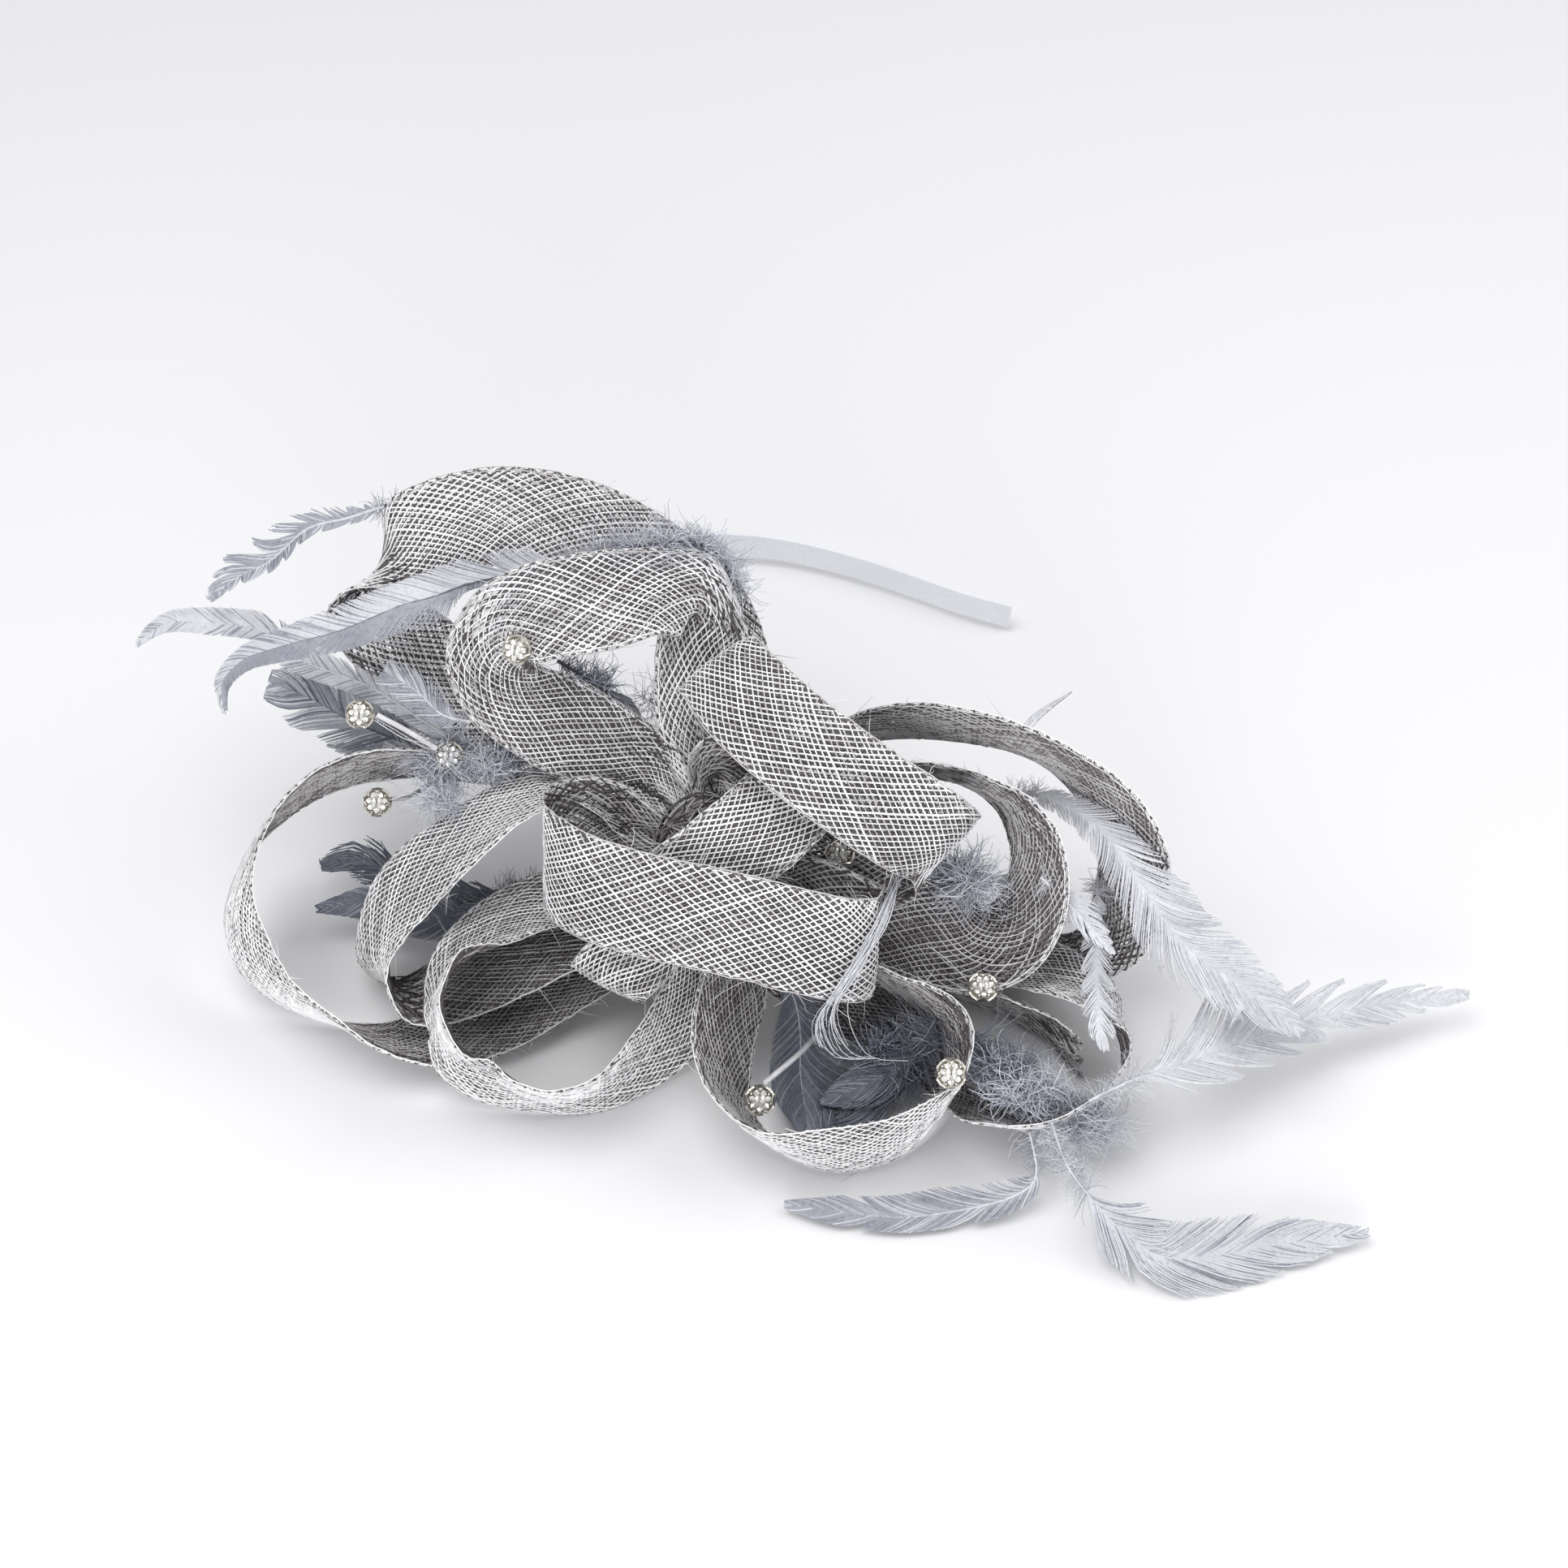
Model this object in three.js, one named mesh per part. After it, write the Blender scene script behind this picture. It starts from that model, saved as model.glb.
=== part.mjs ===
// A fascinator: loops of woven straw strip, feathers and mounted crystals round a small hub, on a headband.
// It lies on a table as it would when put down. Millimetres, +X right, +Y back, +Z up, floor at z = 0.
import * as THREE from "three";
import { mergeVertices } from "three/addons/utils/BufferGeometryUtils.js";

// Driving sizes
const SPREAD = 100; // the length that a share of 1 stands for in the right and back columns of the tables
const RISE = 100; // the same for the up column
const STRIP_WIDTH = 25; // straw strip, folded flat
const STRIP_THICKNESS = 1.0; // two layers of open weave
const STRIP_BOW = 1.0; // how far the middle of a strip stands proud of its edges
const ROOT_WIDTH = 7; // a strip gathered at the hub
const GAP = 0.3; // clearance between pieces that meet
const HUB_RADIUS = 15;
const HUB_CENTRE_Z = 38;

const MATERIALS = {
  straw: { color: 0x9b9698, roughness: 0.7, metalness: 0.05 },
  hub: { color: 0x5c5a60, roughness: 0.9, metalness: 0 },
  satin: { color: 0xd9d9de, roughness: 0.4, metalness: 0 },
  feather: { color: 0x8d8f9d, roughness: 0.8, metalness: 0 },
  metal: { color: 0xd8d4c4, roughness: 0.25, metalness: 1 },
  crystal: { color: 0xf2f4f6, roughness: 0.05, metalness: 0 },
  thread: { color: 0xc9c9cf, roughness: 0.6, metalness: 0 },
};

const radians = THREE.MathUtils.degToRad;

// The direction of a compass turn, counted from +X towards +Y, and a tip above the horizon, in degrees.
function heading(turn, tip) {
  const level = Math.cos(radians(tip));
  return new THREE.Vector3(
    level * Math.cos(radians(turn)),
    level * Math.sin(radians(turn)),
    Math.sin(radians(tip)),
  );
}

// A point given as shares of the spread and the rise.
function inShares(right, back, up) {
  return new THREE.Vector3(right * SPREAD, back * SPREAD, up * RISE);
}

const hubCentre = new THREE.Vector3(0, 0, HUB_CENTRE_Z);

// Table columns. right, back, up: where the strip's middle line passes. turn, tip: the way its width points.
const rows = (columns, table) =>
  table.map((row) => Object.fromEntries(columns.map((name, i) => [name, row[i]])));
const LOOP_COLUMNS = ["right", "back", "up", "turn", "tip", "wide"];

// from and to: the spots on the hub where the two ends sit, and the way the gathered end's width points.
const LOOPS = {
  crown_loop: {
    from: { turn: 75, tip: 12, widthTurn: 0, widthTip: 20 },
    to: { turn: 135, tip: 16, widthTurn: 70, widthTip: 60 },
    table: [
      [0.02, 0.42, 0.6, 30, 25, 0.7],
      [-0.04, 0.5, 0.76, 60, 40, 0.9],
      [-0.2, 0.57, 0.88, 85, 45, 1],
      [-0.34, 0.59, 0.96, 90, 45, 1],
      [-0.56, 0.6, 1, 90, 45, 1],
      [-0.775, 0.54, 0.97, 70, 42, 1],
      [-0.9, 0.52, 0.86, 40, 28, 1],
      [-0.88, 0.5, 0.72, 22, 18, 1],
      [-0.79, 0.48, 0.62, 28, 22, 1],
      [-0.62, 0.4, 0.54, 40, 30, 0.9],
      [-0.37, 0.31, 0.51, 60, 40, 0.5],
    ],
  },
  upper_loop: {
    from: { turn: 95, tip: 32, widthTurn: 0, widthTip: 0 },
    to: { turn: 135, tip: 32, widthTurn: 270, widthTip: -45 },
    table: [
      [-0.05, 0.26, 0.62, 5, 5, 0.6],
      [-0.05, 0.36, 0.75, 15, 10, 0.6],
      [-0.03, 0.43, 0.84, 45, 30, 0.6],
      [-0.13, 0.41, 0.91, 85, 42, 0.85],
      [-0.29, 0.35, 0.93, 90, 45, 1],
      [-0.44, 0.32, 0.92, 95, 45, 1],
      [-0.545, 0.31, 0.87, 145, 30, 0.88],
      [-0.58, 0.285, 0.765, 180, 0, 0.82],
      [-0.53, 0.27, 0.67, 215, -30, 0.88],
      [-0.4, 0.255, 0.585, 238, -40, 1],
      [-0.27, 0.22, 0.52, 240, -42, 0.95],
      [-0.18, 0.185, 0.5, 250, -45, 0.45],
    ],
  },
  shoulder_loop: {
    from: { turn: 45, tip: 50, widthTurn: -20, widthTip: 0 },
    to: { turn: -10, tip: 20, widthTurn: 60, widthTip: 60 },
    table: [
      [0.07, 0.18, 0.62, 0, 10, 0.5],
      [0.04, 0.24, 0.77, 10, 15, 0.7],
      [0, 0.2, 0.86, 25, 25, 0.9],
      [0.1, 0.02, 0.87, 30, 27, 1],
      [0.24, -0.11, 0.83, 30, 27, 1],
      [0.39, -0.18, 0.75, 30, 27, 1],
      [0.51, -0.2, 0.66, 32, 27, 1],
      [0.57, -0.16, 0.56, 34, 28, 0.9],
      [0.52, -0.11, 0.48, 40, 32, 0.8],
      [0.4, -0.09, 0.44, 50, 40, 0.7],
      [0.26, -0.06, 0.43, 60, 50, 0.5],
    ],
  },
  knot_loop: {
    from: { turn: 250, tip: 20, widthTurn: -30, widthTip: -20 },
    to: { turn: 100, tip: 62, widthTurn: -29, widthTip: 5 },
    table: [
      [-0.1, -0.27, 0.52, -29, -26, 0.8],
      [0.02, -0.23, 0.6, -29, -26, 0.95],
      [0.14, -0.15, 0.66, -29, -26, 0.95],
      [0.19, -0.06, 0.66, -29, -24, 0.95],
      [0.12, 0.04, 0.62, -29, -20, 0.9],
      [0.01, 0.08, 0.6, -29, -10, 0.5],
    ],
  },
  front_loop: {
    from: { turn: 180, tip: 14, widthTurn: 90, widthTip: 45 },
    to: { turn: -42, tip: 4, widthTurn: 90, widthTip: 55 },
    table: [
      [-0.26, 0.03, 0.44, 90, 45, 0.5],
      [-0.37, 0, 0.47, 90, 45, 0.85],
      [-0.42, -0.11, 0.5, 90, 45, 1],
      [-0.36, -0.23, 0.53, 90, 45, 1],
      [-0.2, -0.33, 0.55, 90, 45, 1],
      [0, -0.38, 0.54, 90, 45, 1],
      [0.2, -0.41, 0.5, 88, 45, 1],
      [0.34, -0.4, 0.45, 86, 45, 0.95],
      [0.39, -0.33, 0.4, 86, 46, 0.85],
      [0.3, -0.25, 0.41, 90, 50, 0.5],
    ],
  },
  tuck_loop: {
    from: { turn: 240, tip: 0, widthTurn: -25, widthTip: -10 },
    to: { turn: 225, tip: -30, widthTurn: -25, widthTip: -10 },
    table: [
      [-0.13, -0.26, 0.4, -20, -19, 0.6],
      [-0.2, -0.33, 0.36, -20, -19, 0.8],
      [-0.26, -0.37, 0.32, -20, -19, 0.8],
      [-0.27, -0.35, 0.27, -20, -17, 0.8],
      [-0.2, -0.24, 0.26, -20, -15, 0.5],
    ],
  },
  left_outer_loop: {
    from: { turn: 150, tip: -32, widthTurn: 80, widthTip: 60 },
    to: { turn: 215, tip: -52, widthTurn: 290, widthTip: 10 },
    table: [
      [-0.36, 0.24, 0.28, -100, 55, 0.5],
      [-0.56, 0.33, 0.31, -100, 57, 0.8],
      [-0.86, 0.28, 0.42, -100, 60, 1],
      [-1.04, 0.19, 0.44, -80, 60, 1],
      [-1.18, 0.05, 0.38, -40, 60, 1],
      [-1.23, -0.1, 0.29, -26, 62, 1],
      [-1.18, -0.22, 0.22, -34, 62, 1],
      [-1.08, -0.3, 0.16, -60, 58, 1],
      [-0.95, -0.35, 0.12, -75, 48, 1],
      [-0.8, -0.37, 0.07, -75, 22, 1],
      [-0.62, -0.3, 0.045, -70, 6, 1],
      [-0.4, -0.17, 0.07, -70, 8, 0.9],
      [-0.2, -0.06, 0.13, -70, 10, 0.5],
    ],
  },
  left_inner_loop: {
    from: { turn: 162, tip: 0, widthTurn: 100, widthTip: -10 },
    to: { turn: 195, tip: -30, widthTurn: 100, widthTip: -12 },
    table: [
      [-0.3, 0.14, 0.42, 105, -20, 0.5],
      [-0.42, 0.16, 0.47, 110, -20, 0.85],
      [-0.55, 0.09, 0.46, 115, -20, 1],
      [-0.68, 0.01, 0.4, 125, -16, 1],
      [-0.8, -0.07, 0.32, 130, -14, 1],
      [-0.87, -0.15, 0.24, 126, -25, 1],
      [-0.88, -0.22, 0.17, 123, -38, 1],
      [-0.8, -0.26, 0.115, 112, -16, 1],
      [-0.66, -0.23, 0.12, 110, -8, 1],
      [-0.45, -0.14, 0.15, 105, -12, 0.9],
      [-0.26, -0.06, 0.21, 100, -12, 0.5],
    ],
  },
  front_left_loop: {
    from: { turn: 192, tip: -12, widthTurn: 90, widthTip: -10 },
    to: { turn: 262, tip: -40, widthTurn: 0, widthTip: -60 },
    table: [
      [-0.34, -0.06, 0.3, 90, -11, 0.7],
      [-0.48, -0.1, 0.29, 100, -14, 1],
      [-0.61, -0.23, 0.3, 130, -28, 1],
      [-0.69, -0.4, 0.32, 165, -68, 1],
      [-0.68, -0.53, 0.27, 110, -60, 1],
      [-0.6, -0.57, 0.18, 145, -54, 1],
      [-0.45, -0.61, 0.13, 90, -64, 1],
      [-0.31, -0.59, 0.12, 70, -63, 1],
      [-0.17, -0.48, 0.14, 40, -55, 1],
      [-0.07, -0.36, 0.18, 25, -48, 0.8],
      [-0.01, -0.25, 0.24, 10, -55, 0.5],
    ],
  },
  front_right_loop: {
    from: { turn: -75, tip: -20, widthTurn: 200, widthTip: 40 },
    to: { turn: -52, tip: -18, widthTurn: -65, widthTip: 42 },
    table: [
      [0.05, -0.3, 0.26, 205, 45, 0.7],
      [0.02, -0.45, 0.2, 205, 48, 1],
      [0.03, -0.6, 0.15, 215, 55, 1],
      [0.14, -0.73, 0.125, 232, 60, 1],
      [0.3, -0.76, 0.13, -90, 78, 1],
      [0.45, -0.72, 0.13, -85, 78, 1],
      [0.56, -0.63, 0.15, -65, 72, 1],
      [0.6, -0.55, 0.2, -60, 60, 1],
      [0.57, -0.44, 0.22, -62, 48, 0.9],
      [0.46, -0.32, 0.22, -65, 42, 0.75],
      [0.3, -0.21, 0.24, -65, 42, 0.5],
    ],
  },
  right_low_loop: {
    from: { turn: -15, tip: -32, widthTurn: -90, widthTip: 20 },
    to: { turn: -60, tip: -76, widthTurn: 215, widthTip: 5 },
    table: [
      [0.4, -0.08, 0.17, -90, 18, 0.7],
      [0.58, -0.1, 0.14, -90, 18, 1],
      [0.75, -0.13, 0.13, -92, 18, 1],
      [0.885, -0.26, 0.19, -120, 16, 0.8],
      [0.98, -0.35, 0.2, -125, 40, 1],
      [1.02, -0.42, 0.16, -130, 66, 1],
      [1.03, -0.5, 0.135, -100, 82, 1],
      [0.97, -0.61, 0.125, -80, 76, 1],
      [0.83, -0.7, 0.12, -90, 68, 1],
      [0.74, -0.69, 0.11, -110, 52, 0.95],
      [0.69, -0.61, 0.06, -150, 25, 0.75],
      [0.66, -0.5, 0.032, 180, 5, 0.55],
      [0.53, -0.36, 0.03, 215, 3, 0.5],
      [0.3, -0.2, 0.06, 215, 3, 0.4],
      [0.12, -0.1, 0.14, 215, 5, 0.35],
    ],
  },
  right_tail: {
    from: { turn: -25, tip: -56, widthTurn: -90, widthTip: 35 },
    table: [
      [0.3, -0.1, 0.15, -90, 50, 0.4],
      [0.5, -0.19, 0.115, -90, 58, 0.6],
      [0.66, -0.25, 0.105, -88, 60, 0.75],
      [0.75, -0.3, 0.105, -85, 62, 0.8],
      [0.84, -0.36, 0.105, -80, 62, 0.8],
      [0.92, -0.45, 0.1, -70, 62, 0.75],
    ],
  },
  right_inner_loop: {
    from: { turn: 30, tip: 22, widthTurn: -90, widthTip: 50 },
    to: { turn: -25, tip: -12, widthTurn: -90, widthTip: -30 },
    table: [
      [0.34, 0.13, 0.47, -90, 52, 0.8],
      [0.47, 0.15, 0.52, -90, 52, 1],
      [0.61, 0.11, 0.55, -80, 50, 1],
      [0.74, 0.07, 0.5, -65, 45, 1],
      [0.81, -0.01, 0.42, -54, 39, 1],
      [0.81, -0.1, 0.34, -54, 25, 1],
      [0.76, -0.18, 0.28, -60, 5, 1],
      [0.65, -0.22, 0.26, -75, -25, 1],
      [0.51, -0.18, 0.29, -90, -38, 1],
      [0.34, -0.13, 0.32, -90, -38, 0.7],
    ],
  },
  right_outer_loop: {
    from: { turn: 62, tip: 30, widthTurn: -50, widthTip: 60 },
    to: { turn: 15, tip: -45, widthTurn: -90, widthTip: 10 },
    table: [
      [0.3, 0.2, 0.58, -90, 60, 0.7],
      [0.46, 0.19, 0.66, -90, 64, 1],
      [0.65, 0.15, 0.68, -85, 62, 1],
      [0.84, 0.11, 0.63, -70, 52, 1],
      [0.98, 0.06, 0.53, -50, 40, 1],
      [1.06, -0.02, 0.4, -43, 32, 1],
      [1.05, -0.09, 0.29, -45, 32, 1],
      [1, -0.1, 0.16, -58, 34, 1],
      [0.91, -0.1, 0.07, -80, 18, 1],
      [0.75, -0.04, 0.06, -90, 10, 1],
      [0.5, 0, 0.06, -90, 8, 0.9],
      [0.28, 0.02, 0.12, -90, 8, 0.5],
    ],
  },
};

function hubSpot(turn, tip, lift) {
  return hubCentre.clone().addScaledVector(heading(turn, tip), HUB_RADIUS + lift);
}

// A box bent along a route. place(along, across, through) gives each corner its point, with along from 0 to
// 1 and the other two from -1 to 1.
function bentBox(steps, acrossSteps, place) {
  const geometry = new THREE.BoxGeometry(1, 2, 2, steps, acrossSteps, 1);
  const corners = geometry.getAttribute("position");
  for (let i = 0; i < corners.count; i++) {
    const point = place(corners.getX(i) + 0.5, corners.getY(i), corners.getZ(i));
    corners.setXYZ(i, point.x, point.y, point.z);
  }
  geometry.deleteAttribute("normal");
  geometry.deleteAttribute("uv");
  const merged = mergeVertices(geometry, 1e-4);
  merged.computeVertexNormals();
  return merged;
}

// The moving frame of a strip: its point, running direction, width and face, at a share of its length.
function stripRoute({ from, to, table }) {
  const stations = rows(LOOP_COLUMNS, table).map((row) => ({
    point: inShares(row.right, row.back, row.up),
    width: heading(row.turn, row.tip),
    share: row.wide,
  }));
  const root = (spot, lift) => ({
    point: hubSpot(spot.turn, spot.tip, lift),
    width: heading(spot.widthTurn, spot.widthTip),
    share: ROOT_WIDTH / STRIP_WIDTH,
  });
  const finish = to ? [root(to, 4), root(to, GAP)] : [];
  const all = [root(from, GAP), root(from, 4), ...stations, ...finish];
  const middle = new THREE.CatmullRomCurve3(all.map((s) => s.point), false, "centripetal");
  const widths = new THREE.CatmullRomCurve3(all.map((s) => s.width), false, "catmullrom", 0.5);
  middle.arcLengthDivisions = 400;
  return (along) => {
    const t = middle.getUtoTmapping(along);
    const tangent = middle.getTangent(t);
    const width = widths.getPoint(t);
    width.addScaledVector(tangent, -width.dot(tangent)).normalize();
    const slot = Math.min(t * (all.length - 1), all.length - 1 - 1e-9);
    const first = all[Math.floor(slot)];
    const second = all[Math.floor(slot) + 1];
    const mix = THREE.MathUtils.smoothstep(slot % 1, 0, 1);
    const share = THREE.MathUtils.lerp(first.share, second.share, mix);
    return { point: middle.getPoint(t), tangent, width, face: tangent.clone().cross(width), share };
  };
}

const LOOP_STEPS = 28;
function loopGeometry(route) {
  return bentBox(LOOP_STEPS, 2, (along, across, through) => {
    const at = route(along);
    const bow = STRIP_BOW * (1 - across * across) * at.share;
    return at.point
      .clone()
      .addScaledVector(at.width, (across * at.share * STRIP_WIDTH) / 2)
      .addScaledVector(at.face, (through * STRIP_THICKNESS) / 2 + bow);
  });
}

const loopRoutes = {};
for (const [name, loop] of Object.entries(LOOPS)) loopRoutes[name] = stripRoute(loop);

// Headband: a flat band bent to a U. reach: from the crown towards the tips. spread: out from its middle.
const BAND_WIDTH = 7;
const BAND_THICKNESS = 1.8;
const BAND_DEPTH = 125;
const BAND_HALF_SPREAD = 72;
const BAND_ALONG_LEGS = heading(-27, 0); // from the crown towards the tips
const BAND_OUTWARD = heading(243, 12); // from the far leg towards the hub
const HUB_ALONG_LEG = 108; // how far from the crown the hub sits
const HUB_BACK = 10; // from the hub's centre to its flat back
const BAND_HALF = [
  { reach: 0, spread: 0 },
  { reach: 0.02, spread: 0.22 },
  { reach: 0.09, spread: 0.5 },
  { reach: 0.2, spread: 0.74 },
  { reach: 0.36, spread: 0.92 },
  { reach: 0.54, spread: 0.99 },
  { reach: 0.72, spread: 1 },
  { reach: 0.88, spread: 0.99 },
  { reach: 1, spread: 1.01 },
];

function bandGeometry() {
  const nearLeg = hubCentre
    .clone()
    .addScaledVector(BAND_OUTWARD, -(HUB_BACK + GAP + BAND_THICKNESS / 2));
  const crown = nearLeg
    .addScaledVector(BAND_ALONG_LEGS, -HUB_ALONG_LEG)
    .addScaledVector(BAND_OUTWARD, -BAND_HALF_SPREAD);
  const place = ({ reach, spread }, side) =>
    crown
      .clone()
      .addScaledVector(BAND_ALONG_LEGS, reach * BAND_DEPTH)
      .addScaledVector(BAND_OUTWARD, side * spread * BAND_HALF_SPREAD);
  const near = BAND_HALF.slice(1).map((row) => place(row, 1)).reverse();
  const far = BAND_HALF.map((row) => place(row, -1));
  const curve = new THREE.CatmullRomCurve3([...near, ...far], false, "centripetal");
  const upright = BAND_ALONG_LEGS.clone().cross(BAND_OUTWARD).normalize();
  return bentBox(44, 2, (along, across, through) => {
    const outward = curve.getTangentAt(along).cross(upright).normalize();
    return curve
      .getPointAt(along)
      .addScaledVector(upright, (across * BAND_WIDTH) / 2)
      .addScaledVector(outward, (through * BAND_THICKNESS) / 2);
  });
}

// Hub: a covered button with a flat back against the headband.
function hubGeometry() {
  const rim = Math.acos(HUB_BACK / HUB_RADIUS);
  const profile = [new THREE.Vector2(0, -HUB_BACK)];
  const turns = 10;
  for (let i = 0; i <= turns; i++) {
    const angle = Math.PI - rim - ((Math.PI - rim) * i) / turns;
    profile.push(new THREE.Vector2(Math.sin(angle) * HUB_RADIUS, Math.cos(angle) * HUB_RADIUS));
  }
  profile[profile.length - 1].x = 0;
  return new THREE.LatheGeometry(profile, 20);
}

// Feathers. high and low: how far the vane reaches to the left and to the right of the quill, seen from the
// side it faces with its tip upwards, as shares of VANE.
// facing: the compass turn and tip that the flat of the feather looks to.
const VANE = 10;
const QUILL = 1.8; // thickness along the middle of a feather
const VANE_EDGE = 0.8; // thickness at its edges
const FEATHER_COLUMNS = ["right", "back", "up", "high", "low"];
const VIEWER = { turn: -90, tip: 45 };

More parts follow.
